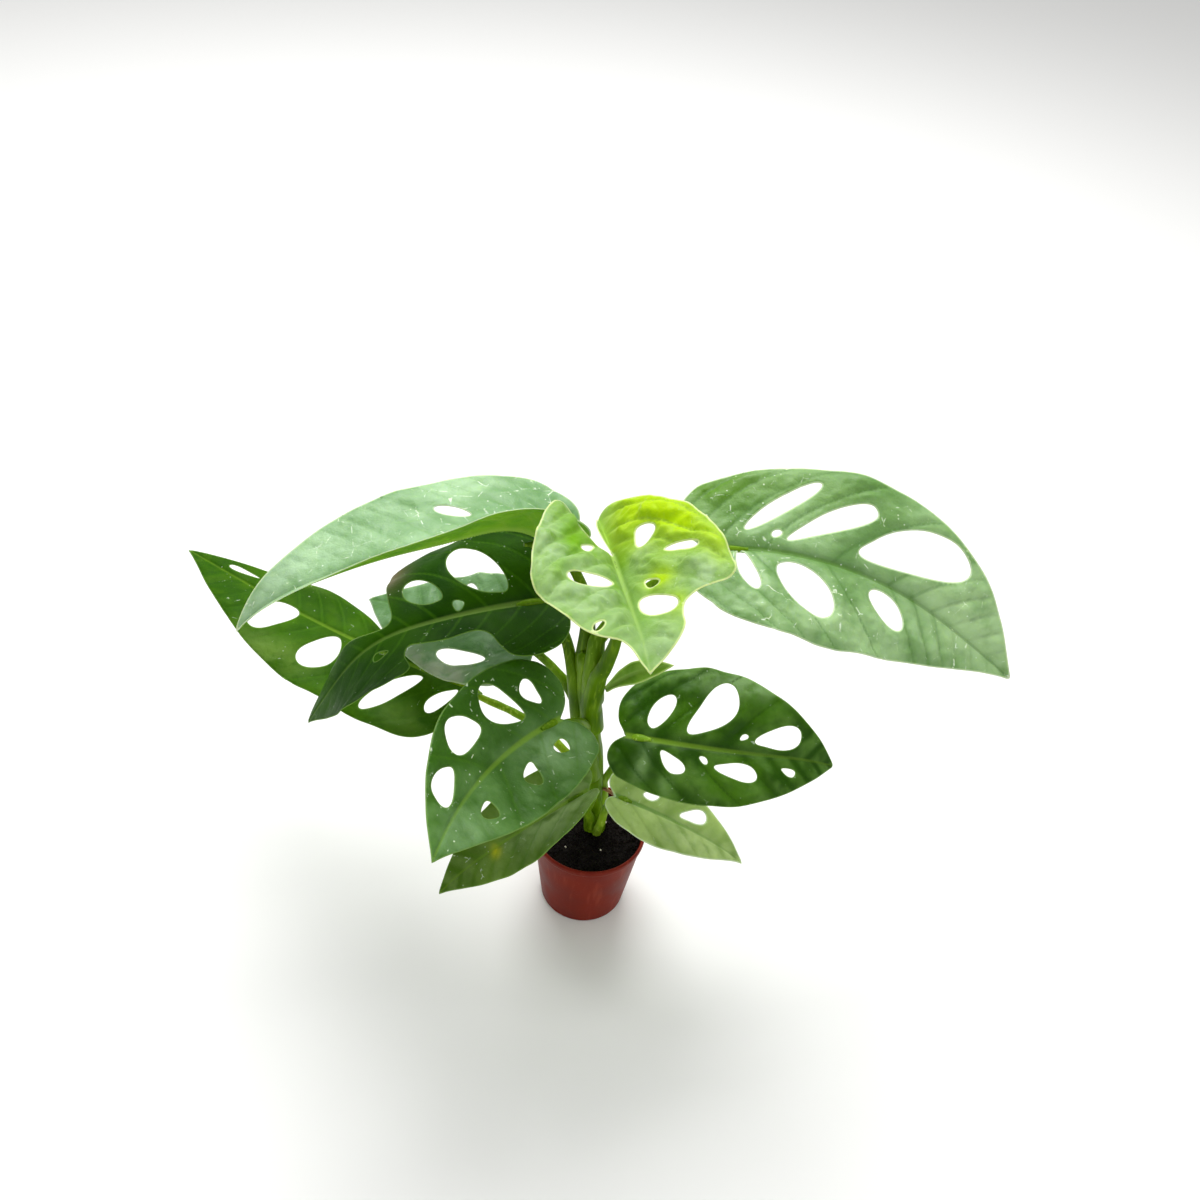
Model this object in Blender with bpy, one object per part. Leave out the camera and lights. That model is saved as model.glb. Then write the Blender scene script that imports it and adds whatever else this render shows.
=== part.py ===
"""A young Swiss cheese vine (Monstera adansonii) in a small plastic nursery pot.

Sizes are in millimetres and become metres when a mesh is made. The origin is the middle of
the pot's base and +Z is up. Each leaf blade is drawn flat first, as an outline with holes,
then laid over a drooping midrib, and each petiole runs from the stem to its own blade.
"""
import math

import bmesh
import bpy
import numpy as np
from mathutils import Vector
from mathutils.geometry import delaunay_2d_cdt

MM = 0.001

# Pot and soil
POT_HEIGHT = 45.0
RIM_RADIUS = 25.0
BASE_RADIUS = 19.0
WALL = 1.0
FLOOR = 1.4
RIM_BEAD = 0.4
DRAIN_RADIUS = 2.4
DRAIN_CIRCLE = 11.0
DRAIN_COUNT = 4
SOIL_DROP = 3.0
GAP = 0.3

# Stem
STEM_FOOT = (2.5, 3.0)
STEM_TOP = (-9.0, 1.0, 108.0)
STEM_RADIUS = 5.2
STEM_TOP_RADIUS = 4.2
STEM_BURIED = 14.0

# Petioles and blades
PETIOLE_RADIUS = 2.0
PETIOLE_TIP = 0.7
BLADE_THICKNESS = 0.8
MESH_STEP = 7.0

LEVEL = POT_HEIGHT - SOIL_DROP

# One half of a blade as (share of length, share of half width), from the notch at the base
# round the widest part to the tip.
HALF_OUTLINE = [
    (0.0, 0.0), (-0.055, 0.20), (-0.06, 0.48), (0.01, 0.78), (0.15, 0.96), (0.34, 1.0),
    (0.53, 0.89), (0.70, 0.65), (0.84, 0.36), (0.93, 0.15), (1.0, 0.0),
]

# Each leaf: base is x, y and height above the soil. heading, pitch and roll turn the blade,
# droop and hook bend its midrib down (hook acts round the share "bend_at"), sway and twist turn
# it sideways and about itself. fold is how far a half rises from the midrib at the base and the
# tip, curl how far its margin turns back. belly above 1 makes the far end of a half slimmer.
# A hole is (share of length, distance from the midrib, length, width, angle away from the midrib),
# and a negative distance puts it on the right half.
# start is the petiole's place on the stem: height above the soil and compass angle.
LEAVES = {
    "leaf_upper_right": dict(
        base=(30, 10, 160), heading=6, pitch=8, roll=12, length=134, left=38, right=38,
        droop=48, hook=-15, sway=-35, twist=13, fold_left=(13, 29), fold_right=(18, 2),
        curl=(-15, -19), belly=(0.82, 1.13), start=(111, -50), lift=(2, 5, 150),
        holes=[(0.20, 18.5, 33, 8, 43), (0.34, 16, 36, 9, 34), (0.57, 16, 42, 18, 20),
               (0.195, 7, 4, 2.5, 40), (0.11, -11, 20, 7, 75), (0.28, -15, 27, 17, 46),
               (0.54, -10, 19, 10, 22)]),
    "leaf_right": dict(
        base=(10, -8, 74), heading=-15, pitch=10, roll=29, length=88, left=32.5, right=23,
        droop=25, hook=29, sway=14, twist=6, fold_left=(0, 22), fold_right=(2, 10),
        curl=(-11, -15), belly=(0.90, 0.84), start=(40, 0), lift=(6, -2, 64),
        holes=[(0.14, 12, 17, 8, 65), (0.39, 15, 25, 14, 48), (0.70, 7, 18, 9, 17),
               (0.54, 6, 3.5, 2.2, 30), (0.23, -8, 12, 6, 40), (0.37, -5, 4, 2.4, 34),
               (0.52, -8, 16, 7, 8), (0.75, -6, 6, 3, 15)]),
    "leaf_lower_right": dict(
        base=(9, -14, 43), heading=-3, pitch=-18, roll=6, length=65, left=17, right=17,
        droop=12, hook=10, sway=-7, twist=0, fold_left=(16, 12), fold_right=(17, 12),
        curl=(-7, -19), belly=(0.98, 1.07), start=(10, -75), lift=(7, -12, 28),
        holes=[(0.23, 6, 7, 4, 17), (0.55, 6, 12, 6, 24)]),
    "leaf_front": dict(
        base=(-16, -29, 102), heading=-130, pitch=12, roll=-19, length=93, left=27, right=29.5,
        droop=-10, hook=5, sway=34, twist=-3, fold_left=(7, 4), fold_right=(26, 12),
        curl=(17, 1), belly=(0.85, 1.07), start=(64, -110), lift=(-7, -20, 96),
        holes=[(0.11, 10, 8, 6, 30), (0.35, 12, 12, 6.5, 35), (0.65, 9, 9, 6, 30),
               (0.10, -14, 11, 7, 60), (0.26, -15, 22, 12, 45), (0.48, -16, 17, 12, 15),
               (0.70, -9, 16, 9, -15)]),
    "leaf_lower_front": dict(
        base=(-3, -24, 56), heading=-155, pitch=-26, roll=4, length=75, left=20, right=20,
        droop=9, hook=13, sway=4, twist=-7, fold_left=(38, -4), fold_right=(16, 10),
        curl=(-21, -7), belly=(1.02, 0.99), start=(18, -110), lift=(0, -17, 48),
        holes=[]),
    "leaf_far_left": dict(
        base=(-52, 16, 65), heading=168, pitch=6, roll=-5, length=151, left=34, right=32,
        droop=0, hook=6, sway=-17, twist=0, fold_left=(10, 8), fold_right=(2, 7),
        curl=(-25, -50), belly=(1.04, 0.95), start=(42, 175), lift=(-30, 13, 64),
        holes=[(0.64, 7, 21, 16, 43), (0.45, 13, 20, 14, 75), (0.22, 16, 30, 8, 57),
               (0.09, 12, 18, 6, 66), (0.81, -5, 13, 3, 10)]),
    "leaf_centre_left": dict(
        base=(-25, 14, 123), heading=-165, pitch=-3, roll=-9, length=121, left=31, right=40,
        droop=16, hook=42, sway=17, twist=10, bend_at=0.60, fold_left=(2, 5),
        fold_right=(50, -18), curl=(25, -60), belly=(0.99, 0.86), start=(86, 172),
        lift=(-17, 12, 112),
        holes=[(0.22, -17, 29, 17, 50), (0.40, -14, 18, 10, 48), (0.30, -4, 4.5, 4, 0),
               (0.52, -9, 8, 5, 30), (0.20, 17, 10, 6, 60), (0.58, 8, 6, 4.5, 0)]),
    "leaf_back_left": dict(
        base=(-33, 12, 102), heading=158, pitch=-8, roll=-11, length=95, left=28, right=25,
        droop=14, hook=6, sway=-6, twist=5, fold_left=(3, 8), fold_right=(19, 0),
        curl=(-26, -6), belly=(1.05, 1.04), start=(66, 140), lift=(-22, 11, 92),
        holes=[(0.24, 17, 20, 7, 10), (0.45, 11, 14, 6, 35), (0.36, -12, 15, 7, 40)]),
    "leaf_upper_left": dict(
        base=(-22, 12, 154), heading=-158, pitch=8, roll=-22, length=132, left=29, right=32.5,
        droop=29, hook=41, sway=11, twist=0, fold_left=(72, 42), fold_right=(8, 12),
        curl=(27, -26), belly=(1.13, 1.24), start=(111, 110), lift=(-7, 9, 140),
        holes=[(0.30, -15, 13, 5, 33)]),
    "leaf_top": dict(
        base=(-4, -18, 174), heading=-76, pitch=10, roll=1, length=68, left=38, right=34,
        droop=-3, hook=20, sway=-2, twist=0, fold_left=(50, 18), fold_right=(52, 18),
        curl=(-20, -41), belly=(0.95, 0.96), lobe=5.0, start=(92, -70), lift=(5, -14, 140),
        holes=[(0.05, 14, 13, 10, 15), (0.31, 23, 12, 5, 60), (0.40, 9, 6, 5, 30),
               (0.58, 12, 15, 11, 50), (0.38, -14, 17, 7, 30), (0.08, -13, 6, 4, 40),
               (0.74, -14, 5, 3, 20)]),
}

# The sheath leaf that wrapped the newest blade: a slim trough on the right of the stem.
SHEATH_LEAF = dict(
    base=(3.2, -2, 92), heading=-12, pitch=62, roll=0, length=36, left=3.4, right=3.4, droop=22,
    hook=10, sway=0, twist=0, fold_left=(45, 30), fold_right=(45, 30), curl=(0, 0),
    belly=(1.0, 1.0), holes=[])

ROOT_HEIGHT = 29.0
ROOT_ANGLE = -25.0
ROOT_LENGTH = 9.0
ROOT_RADIUS = 0.9


def smooth_line(points, steps):
    """Rounded line through the points: `steps` pieces between each pair."""
    line = [Vector(p) for p in points]
    line = [line[0] * 2 - line[1]] + line + [line[-1] * 2 - line[-2]]
    out = []
    for a, b, c, d in zip(line, line[1:], line[2:], line[3:]):
        for step in range(steps):
            t = step / steps
            out.append(0.5 * (2 * b + (c - a) * t + (2 * a - 5 * b + 4 * c - d) * t ** 2
                              + (3 * b - a - 3 * c + d) * t ** 3))
    out.append(line[-2])
    return out


def bezier(points, share):
    """Point on a Bezier curve of any number of control points."""
    row = [Vector(p) for p in points]
    while len(row) > 1:
        row = [a.lerp(b, share) for a, b in zip(row, row[1:])]
    return row[0]


def material(name, colour, roughness, metallic=0.0):
    mat = bpy.data.materials.new(name)
    mat.use_nodes = True
    shader = mat.node_tree.nodes["Principled BSDF"]
    shader.inputs["Base Color"].default_value = (*colour, 1.0)
    shader.inputs["Roughness"].default_value = roughness
    shader.inputs["Metallic"].default_value = metallic
    mat.diffuse_color = (*colour, 1.0)
    return mat


def add_object(name, mesh_data, mat, smooth=True):
    """Makes the object from a bmesh in millimetres and gives it its material."""
    bmesh.ops.recalc_face_normals(mesh_data, faces=mesh_data.faces)
    mesh = bpy.data.meshes.new(name)
    bmesh.ops.scale(mesh_data, vec=(MM, MM, MM), verts=mesh_data.verts)
    mesh_data.to_mesh(mesh)
    mesh_data.free()
    for face in mesh.polygons:
        face.use_smooth = smooth
    obj = bpy.data.objects.new(name, mesh)
    bpy.context.scene.collection.objects.link(obj)
    if mat is not None:
        mesh.materials.append(mat)
    return obj


def turned(profile, sides, surface=None):
    """Closed round solid from a profile of (radius, height) that starts and ends on the axis."""
    data = bmesh.new()
    rings = []
    for radius, height in profile:
        ring = []
        if radius < 1e-6:
            lift = surface(0.0, 0.0) if surface and height is None else height
            rings.append([data.verts.new((0, 0, lift))])
            continue
        for side in range(sides):
            angle = math.tau * side / sides
            x = radius * math.cos(angle)
            y = radius * math.sin(angle)
            z = surface(x, y) if surface and height is None else height
            ring.append(data.verts.new((x, y, z)))
        rings.append(ring)
    for low, high in zip(rings, rings[1:]):
        for side in range(sides):
            after = (side + 1) % sides
            if len(low) == 1:
                data.faces.new((low[0], high[side], high[after]))
            elif len(high) == 1:
                data.faces.new((low[side], low[after], high[0]))
            else:
                data.faces.new((low[side], low[after], high[after], high[side]))
    return data


def swept(points, radii, sides, first_way=None, last_way=None):
    """Closed round bar along the points. The two ways are what its end caps face along."""
    data = bmesh.new()
    points = [Vector(p) for p in points]
    side_way = None
    rings = []
    for place, point in enumerate(points):
        before = points[max(place - 1, 0)]
        after = points[min(place + 1, len(points) - 1)]
        along = (after - before).normalized()
        if first_way is not None and place == 0:
            along = first_way
        if last_way is not None and place == len(points) - 1:
            along = last_way
        if side_way is None:
            guide = Vector((0, 1, 0)) if abs(along.y) < 0.9 else Vector((1, 0, 0))
            side_way = guide.cross(along).normalized()
        side_way = (side_way - along * side_way.dot(along)).normalized()
        other = along.cross(side_way)
        ring = []
        for side in range(sides):
            angle = math.tau * side / sides
            spoke = side_way * math.cos(angle) + other * math.sin(angle)
            ring.append(data.verts.new(point + spoke * radii[place]))
        rings.append(ring)
    for low, high in zip(rings, rings[1:]):
        for side in range(sides):
            after = (side + 1) % sides
            data.faces.new((low[side], low[after], high[after], high[side]))
    for ring, middle in ((rings[0], points[0]), (rings[-1], points[-1])):
        hub = data.verts.new(middle)
        for side in range(sides):
            data.faces.new((ring[side], ring[(side + 1) % sides], hub))
    return data


def cut(target, cutter):
    """Takes the cutter out of the target and leaves the cutter hidden."""
    cutter.hide_render = True
    cutter.display_type = 'WIRE'
    boolean = target.modifiers.new("cut " + cutter.name, 'BOOLEAN')
    boolean.operation = 'DIFFERENCE'
    boolean.solver = 'EXACT'
    boolean.object = cutter


def turn(axis, degrees):
    c = math.cos(math.radians(degrees))
    s = math.sin(math.radians(degrees))
    if axis == 'x':
        return np.array([[1, 0, 0], [0, c, -s], [0, s, c]])
    if axis == 'y':
        return np.array([[c, 0, s], [0, 1, 0], [-s, 0, c]])
    return np.array([[c, -s, 0], [s, c, 0], [0, 0, 1]])


class Blade:
    """Lays a flat leaf drawing over its drooping, folded and curled shape."""

    STEPS = 40

    def __init__(self, leaf):
        self.leaf = leaf
        self.base = np.array(leaf["base"], float) + (0, 0, LEVEL)
        start = turn('z', leaf["heading"]) @ turn('y', -leaf["pitch"]) @ turn('x', leaf["roll"])
        step = leaf["length"] / self.STEPS
        self.frames = []
        self.line = [np.zeros(3)]
        for place in range(self.STEPS + 1):
            share = place / self.STEPS
            near = min(max((share - leaf.get("bend_at", 0.85) + 0.18) / 0.36, 0.0), 1.0)
            down = leaf["droop"] * share + leaf["hook"] * near * near * (3 - 2 * near)
            frame = (start @ turn('z', leaf["sway"] * share) @ turn('y', down)
                     @ turn('x', leaf["twist"] * share))
            if self.frames:
                self.line.append(self.line[-1] + (self.frames[-1][:, 0] + frame[:, 0]) * step / 2)
            self.frames.append(frame)

    def point(self, along, across):
        """Top surface at a share of the length and a distance from the midrib (left is +)."""
        leaf = self.leaf
        inside = min(max(along, 0.0), 1.0)
        place = min(int(inside * self.STEPS), self.STEPS - 1)
        part = inside * self.STEPS - place
        frame = self.frames[place] * (1 - part) + self.frames[place + 1] * part
        middle = self.line[place] * (1 - part) + self.line[place + 1] * part
        middle = middle + frame[:, 0] * (along - inside) * leaf["length"]
        side = 1.0 if across >= 0 else -1.0
        fold = leaf["fold_left"] if side > 0 else leaf["fold_right"]
        width = leaf["left"] if side > 0 else leaf["right"]
        curl = math.radians(leaf["curl"][0 if side > 0 else 1]) * abs(across) / width
        chord = abs(across) * (math.sin(curl / 2) / (curl / 2) if abs(curl) > 1e-6 else 1.0)
        rise = math.radians(fold[0] + (fold[1] - fold[0]) * inside) + curl / 2
        return (self.base + middle + frame[:, 1] * side * chord * math.cos(rise)
                + frame[:, 2] * chord * math.sin(rise))

    def outline(self):
        """Flat outline as (along, across) in millimetres, tip and notch once each."""
        leaf = self.leaf
        lobe = leaf.get("lobe", 1.0)
        half = [(p.x, max(p.y, 0.0)) for p in smooth_line([(a, w, 0) for a, w in HALF_OUTLINE], 3)]
        loop = []
        for side, width, belly in ((1, leaf["left"], leaf["belly"][0]),
                                   (-1, leaf["right"], leaf["belly"][1])):
            row = []
            for along, wide in half:
                share = along ** belly if along > 0 else along * lobe
                row.append((share * leaf["length"], side * wide * width))
            loop += row[:-1] if side > 0 else row[:0:-1]
        return loop

    def hole(self, along, across, length, width, angle):
        """Egg-shaped hole, a little slimmer at the end nearer the midrib."""
        side = 1.0 if across >= 0 else -1.0
        sides = 12 if length < 12 else 16
        c = math.cos(math.radians(angle))
        s = math.sin(math.radians(angle)) * side
        loop = []
        for step in range(sides):
            turned_by = math.tau * step / sides
            x = length / 2 * math.cos(turned_by)
            y = width / 2 * math.sin(turned_by) * (1 + 0.18 * math.cos(turned_by))
            loop.append((along * self.leaf["length"] + x * c - y * s, across + x * s + y * c))
        return loop


def inside_loop(x, y, loop):
    hit = False
    for (ax, ay), (bx, by) in zip(loop, loop[1:] + loop[:1]):
        if (ay > y) != (by > y) and x < (bx - ax) * (y - ay) / (by - ay) + ax:
            hit = not hit
    return hit


def distance_to_loop(x, y, loop):
    best = 1e9
    for (ax, ay), (bx, by) in zip(loop, loop[1:] + loop[:1]):
        span = (bx - ax) ** 2 + (by - ay) ** 2
        part = min(max(((x - ax) * (bx - ax) + (y - ay) * (by - ay)) / max(span, 1e-9), 0.0), 1.0)
        best = min(best, math.hypot(ax + (bx - ax) * part - x, ay + (by - ay) * part - y))
    return best


def blade_sheet(blade, step):
    """The blade's top surface as a single sheet with its holes left open."""
    leaf = blade.leaf
    outline = blade.outline()
    holes = [blade.hole(*hole) for hole in leaf["holes"]]
    points = []
    edges = []
    for loop in [outline] + holes:
        first = len(points)
        points += loop
        edges += [(first + i, first + (i + 1) % len(loop)) for i in range(len(loop))]
    along_count = max(int(leaf["length"] / step), 4)
    for row in range(1, along_count):
        x = leaf["length"] * row / along_count
        points.append((x, 0.0))
        for side, width in ((1, leaf["left"]), (-1, leaf["right"])):
            count = max(int(round(width / step)), 1)
            for column in range(1, count + 1):
                y = side * width * (column - 0.4 * (row % 2)) / count
                clear = inside_loop(x, y, outline) and distance_to_loop(x, y, outline) > step * 0.4
                for hole in holes:
                    clear = clear and not inside_loop(x, y, hole)
                    clear = clear and distance_to_loop(x, y, hole) > step * 0.35
                if clear:
                    points.append((x, y))
    found = delaunay_2d_cdt([Vector(p) for p in points], edges, [], 0, 1e-5)
    flat = found[0]
    data = bmesh.new()
    verts = [data.verts.new(blade.point(p.x / leaf["length"], p.y)) for p in flat]
    for face in found[2]:
        x = sum(flat[i].x for i in face) / len(face)
        y = sum(flat[i].y for i in face) / len(face)
        if inside_loop(x, y, outline) and not any(inside_loop(x, y, hole) for hole in holes):
            data.faces.new([verts[i] for i in face])
    loose = [vert for vert in data.verts if not vert.link_faces]
    bmesh.ops.delete(data, geom=loose, context='VERTS')
    return data


def make_blade(name, leaf, mat, step=MESH_STEP):
    data = blade_sheet(Blade(leaf), step)
    obj = add_object(name, data, mat)
    facing = sum((face.normal.z for face in obj.data.polygons), 0.0)
    if facing < 0:
        obj.data.flip_normals()
    solidify = obj.modifiers.new("blade thickness", 'SOLIDIFY')
    solidify.thickness = BLADE_THICKNESS * MM
    solidify.offset = -1.0
    return obj


def stem_middle(height):
    """Middle of the stem at a height above the soil."""
    share = min(max(height / STEM_TOP[2], 0.0), 1.0)
    ease = share * share * (3 - 2 * share) * 0.4 + share * 0.6
    x = STEM_FOOT[0] + (STEM_TOP[0] - STEM_FOOT[0]) * ease
    y = STEM_FOOT[1] + (STEM_TOP[1] - STEM_FOOT[1]) * ease
    return Vector((x, y, LEVEL + height))


def stem_radius(height):
    share = min(max(height / STEM_TOP[2], 0.0), 1.0)
    return STEM_RADIUS + (STEM_TOP_RADIUS - STEM_RADIUS) * share


def off_stem(height, compass, away):
    """A point clear of the stem's skin, and the direction straight out from the stem there."""
    axis = (stem_middle(height + 0.5) - stem_middle(height - 0.5)).normalized()
    out = Vector((math.cos(math.radians(compass)), math.sin(math.radians(compass)), 0))
    out = (out - axis * out.dot(axis)).normalized()
    return stem_middle(height) + out * (stem_radius(height) + away), out


def make_petiole(name, leaf, mat):
    """Leaf stalk from just off the stem's skin to just under the blade's base."""
    height, compass = leaf["start"]
    up = Vector((0, 0, 1))
    if height > STEM_TOP[2]:
        start, out = off_stem(STEM_TOP[2], compass, 0.0)
        start = stem_middle(STEM_TOP[2]) + out * (PETIOLE_RADIUS + GAP) + up * GAP * 2
        path = [start, start + up * 4, start + up * 12 + out * 2]
        early = up
    else:
        start, out = off_stem(height, compass, GAP)
        path = [start, start + out * 6.5, start + out * 5 + up * 9]
        early = out
    blade = Blade(leaf)
    along = Vector(blade.frames[1][:, 0])
    normal = Vector(blade.frames[1][:, 2])
    end = Vector(blade.point(0.03, 0.0)) - normal * (BLADE_THICKNESS + GAP * 1.1)
    path += [Vector(leaf["lift"]) + up * LEVEL, end - normal * 7 - along * 6, end - normal * 4, end]
    points = [bezier(path, i / 20) for i in range(21)]
    radii = [PETIOLE_RADIUS * (1 - (1 - PETIOLE_TIP) * i / 20) for i in range(21)]
    return add_object(name, swept(points, radii, 12, early, normal), mat)


def pot_profile():
    """Outline of the pot's wall from the middle of the base, round the rim, to the inside."""
    inner_top = RIM_RADIUS - WALL
    slope = (RIM_RADIUS - BASE_RADIUS) / POT_HEIGHT
    return [
        (0.0, 0.0), (BASE_RADIUS - 0.5, 0.0), (BASE_RADIUS, 0.5),
        (BASE_RADIUS + slope * (POT_HEIGHT - 3.2), POT_HEIGHT - 3.2),
        (RIM_RADIUS - 0.1 + RIM_BEAD, POT_HEIGHT - 2.6), (RIM_RADIUS + RIM_BEAD, POT_HEIGHT - 0.5),
        (RIM_RADIUS + RIM_BEAD - 0.4, POT_HEIGHT), (inner_top + 0.4, POT_HEIGHT),
        (inner_top, POT_HEIGHT - 0.4), (inner_radius(FLOOR), FLOOR), (0.0, FLOOR),
    ]


def inner_radius(height):
    """Inside radius of the pot at a height."""
    return BASE_RADIUS - WALL + (RIM_RADIUS - BASE_RADIUS) * height / POT_HEIGHT


def soil_surface(x, y):
    """Lumpy top of the potting mix, lowest round the rim."""
    away = math.hypot(x, y) / RIM_RADIUS
    lumps = 0.35 * math.sin(0.55 * x + 1.0) * math.cos(0.5 * y) + 0.25 * math.sin(1.1 * x - 0.9 * y)
    return LEVEL + 0.6 * (1 - away ** 2) + lumps


def make_pot(mat):
    pot = add_object("nursery_pot", turned(pot_profile(), 64), mat)
    for number in range(DRAIN_COUNT):
        angle = math.tau * (number + 0.5) / DRAIN_COUNT
        drill = turned([(0, -1), (DRAIN_RADIUS, -1), (DRAIN_RADIUS, FLOOR + 1), (0, FLOOR + 1)], 20)
        place = (DRAIN_CIRCLE * math.cos(angle), DRAIN_CIRCLE * math.sin(angle), 0)
        bmesh.ops.translate(drill, vec=place, verts=drill.verts)
        cut(pot, add_object(f"drain_cutter_{number + 1}", drill, None))
    return pot


def make_soil(mat):
    bottom = FLOOR + GAP
    skin = GAP * 1.3
    edge = inner_radius(LEVEL) - skin
    profile = [(0.0, bottom), (inner_radius(bottom) - skin, bottom), (edge - 0.15, LEVEL - 1.6)]
    profile += [(edge * share, None) for share in (0.98, 0.86, 0.72, 0.58, 0.44, 0.3, 0.15)]
    profile += [(0.0, None)]
    soil = add_object("potting_soil", turned(profile, 40, soil_surface), mat)
    socket = STEM_RADIUS + GAP * 1.4
    depth = STEM_BURIED + GAP
    drill = turned([(0, -depth), (socket, -depth), (socket, 6), (0, 6)], 28)
    bmesh.ops.translate(drill, vec=(*STEM_FOOT, LEVEL), verts=drill.verts)
    cut(soil, add_object("stem_socket_cutter", drill, None))
    return soil


def make_stem(mat):
    heights = [-STEM_BURIED, -STEM_BURIED / 2] + [STEM_TOP[2] * i / 24 for i in range(25)]
    points = [stem_middle(height) for height in heights]
    return add_object("main_stem", swept(points, [stem_radius(h) for h in heights], 20), mat)


def make_root(mat):
    start, out = off_stem(ROOT_HEIGHT, ROOT_ANGLE, GAP)
    path = [start, start + out * ROOT_LENGTH * 0.5, start + out * ROOT_LENGTH - Vector((0, 0, 3))]
    points = [bezier(path, i / 8) for i in range(9)]
    radii = [ROOT_RADIUS * (1 - 0.07 * i) for i in range(9)]
    return add_object("aerial_root", swept(points, radii, 10), mat)


for old in list(bpy.data.objects):
    bpy.data.objects.remove(old, do_unlink=True)

make_pot(material("terracotta_plastic", (0.155, 0.022, 0.010), 0.42))
make_soil(material("potting_mix", (0.012, 0.008, 0.006), 0.95))
make_stem(material("stem_green", (0.075, 0.160, 0.012), 0.42))
make_root(material("root_skin", (0.30, 0.16, 0.09), 0.6))

DEEP = (0.030, 0.105, 0.018)
SAGE = (0.105, 0.215, 0.085)
LIME = (0.270, 0.450, 0.045)
BLADE_COLOURS = {
    "leaf_upper_right": SAGE, "leaf_upper_left": SAGE, "leaf_lower_right": (0.09, 0.19, 0.045),
    "leaf_top": LIME, "leaf_back_left": SAGE,
}
for leaf_name, leaf_values in LEAVES.items():
    colour = BLADE_COLOURS.get(leaf_name, DEEP)
    make_blade(leaf_name, leaf_values, material(leaf_name + "_blade", colour, 0.38))
    petiole_name = leaf_name.replace("leaf_", "petiole_")
    make_petiole(petiole_name, leaf_values, material(petiole_name + "_skin", (0.07, 0.16, 0.015), 0.42))
make_blade("sheath_leaf", SHEATH_LEAF, material("sheath_leaf_blade", (0.12, 0.24, 0.03), 0.45), 3.0)
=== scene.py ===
# %% [markdown]
# # A young Swiss cheese vine in its nursery pot
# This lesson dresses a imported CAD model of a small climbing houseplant. The CAD gives the size
# and the place of every piece. Here each blade, stalk, crumb of soil and the pot is made again
# at full detail in the same place, and gets a material that behaves like the living thing.
# Everything is in metres once it is a mesh; the numbers below are in millimetres.

# %% Load the frame
import math

import bpy
import numpy as np
from mathutils import Matrix, Vector
from mathutils.geometry import delaunay_2d_cdt


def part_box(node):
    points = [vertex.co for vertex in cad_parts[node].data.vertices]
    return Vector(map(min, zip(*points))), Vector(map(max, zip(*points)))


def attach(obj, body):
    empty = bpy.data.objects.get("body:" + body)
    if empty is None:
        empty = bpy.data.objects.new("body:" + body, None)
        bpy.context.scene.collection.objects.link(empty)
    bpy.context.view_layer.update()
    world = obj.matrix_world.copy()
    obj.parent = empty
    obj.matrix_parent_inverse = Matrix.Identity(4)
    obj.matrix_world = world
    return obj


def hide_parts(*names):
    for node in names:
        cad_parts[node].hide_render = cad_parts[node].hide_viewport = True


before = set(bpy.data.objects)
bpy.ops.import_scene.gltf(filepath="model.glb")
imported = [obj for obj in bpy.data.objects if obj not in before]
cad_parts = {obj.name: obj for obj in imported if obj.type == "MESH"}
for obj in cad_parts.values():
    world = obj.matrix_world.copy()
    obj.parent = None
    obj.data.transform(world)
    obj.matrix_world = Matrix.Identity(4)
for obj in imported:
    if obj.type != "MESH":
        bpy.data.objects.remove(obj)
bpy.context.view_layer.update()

MM = 0.001

# %% [markdown]
# ## Camera
# The plant is seen from above the leaves and quite close, so near leaves look larger than far
# ones. A normal lens at a little over half a metre gives that. The camera leans a few degrees,
# because a hand-held one is never quite level. Depth of field stays off so all leaves are sharp.

# %% Place the camera
CAMERA_AT = Vector((-0.0065, -0.353, 0.4898))
CAMERA_DOWN = 41.3
CAMERA_LEAN = 6.4
CAMERA_LENS = 37.5
SENSOR_WIDTH = 36.0
NEAREST_SEEN = 0.01

down, lean = math.radians(CAMERA_DOWN), math.radians(CAMERA_LEAN)
ahead = Vector((0, math.cos(down), -math.sin(down)))
level_up = Vector((0, math.sin(down), math.cos(down)))
level_right = Vector((1, 0, 0))
right_way = level_right * math.cos(lean) + level_up * math.sin(lean)
up_way = level_up * math.cos(lean) - level_right * math.sin(lean)
camera_data = bpy.data.cameras.new("camera")
camera_data.lens = CAMERA_LENS
camera_data.sensor_width = SENSOR_WIDTH
camera_data.clip_start = NEAREST_SEEN
camera = bpy.data.objects.new("camera", camera_data)
camera.matrix_world = Matrix.Translation(CAMERA_AT) @ Matrix(
    (right_way, up_way, -ahead)).transposed().to_4x4()
bpy.context.scene.collection.objects.link(camera)
bpy.context.scene.camera = camera
print("camera is", round((CAMERA_AT - Vector((0, 0, 0.1))).length, 3), "m from the plant's middle")

# %% [markdown]
# ## Helpers for colours and materials
# Colours are written as the hex values a designer would pick on a screen, and one function
# turns them into the linear values that Blender's shaders expect. A second function starts a
# material and sets the values of its shader that stay the same all over the piece.

# %% Colour and material helpers
def linear(hex_colour):
    """sRGB hex such as #A0C070 to a linear colour with alpha 1."""
    parts = [int(hex_colour[i:i + 2], 16) / 255 for i in (1, 3, 5)]
    return tuple(p / 12.92 if p <= 0.04045 else ((p + 0.055) / 1.055) ** 2.4
                 for p in parts) + (1.0,)


def start_material(name, **sockets):
    """A new material with its shader's sockets set. Gives it and its tree."""
    material = bpy.data.materials.new(name)
    material.use_nodes = True
    for label, value in sockets.items():
        shader = material.node_tree.nodes["Principled BSDF"]
        shader.inputs[label.replace("_", " ")].default_value = value
    return material, material.node_tree


print("mid grey #808080 is", round(linear("#808080")[0], 3), "in linear light")

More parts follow.
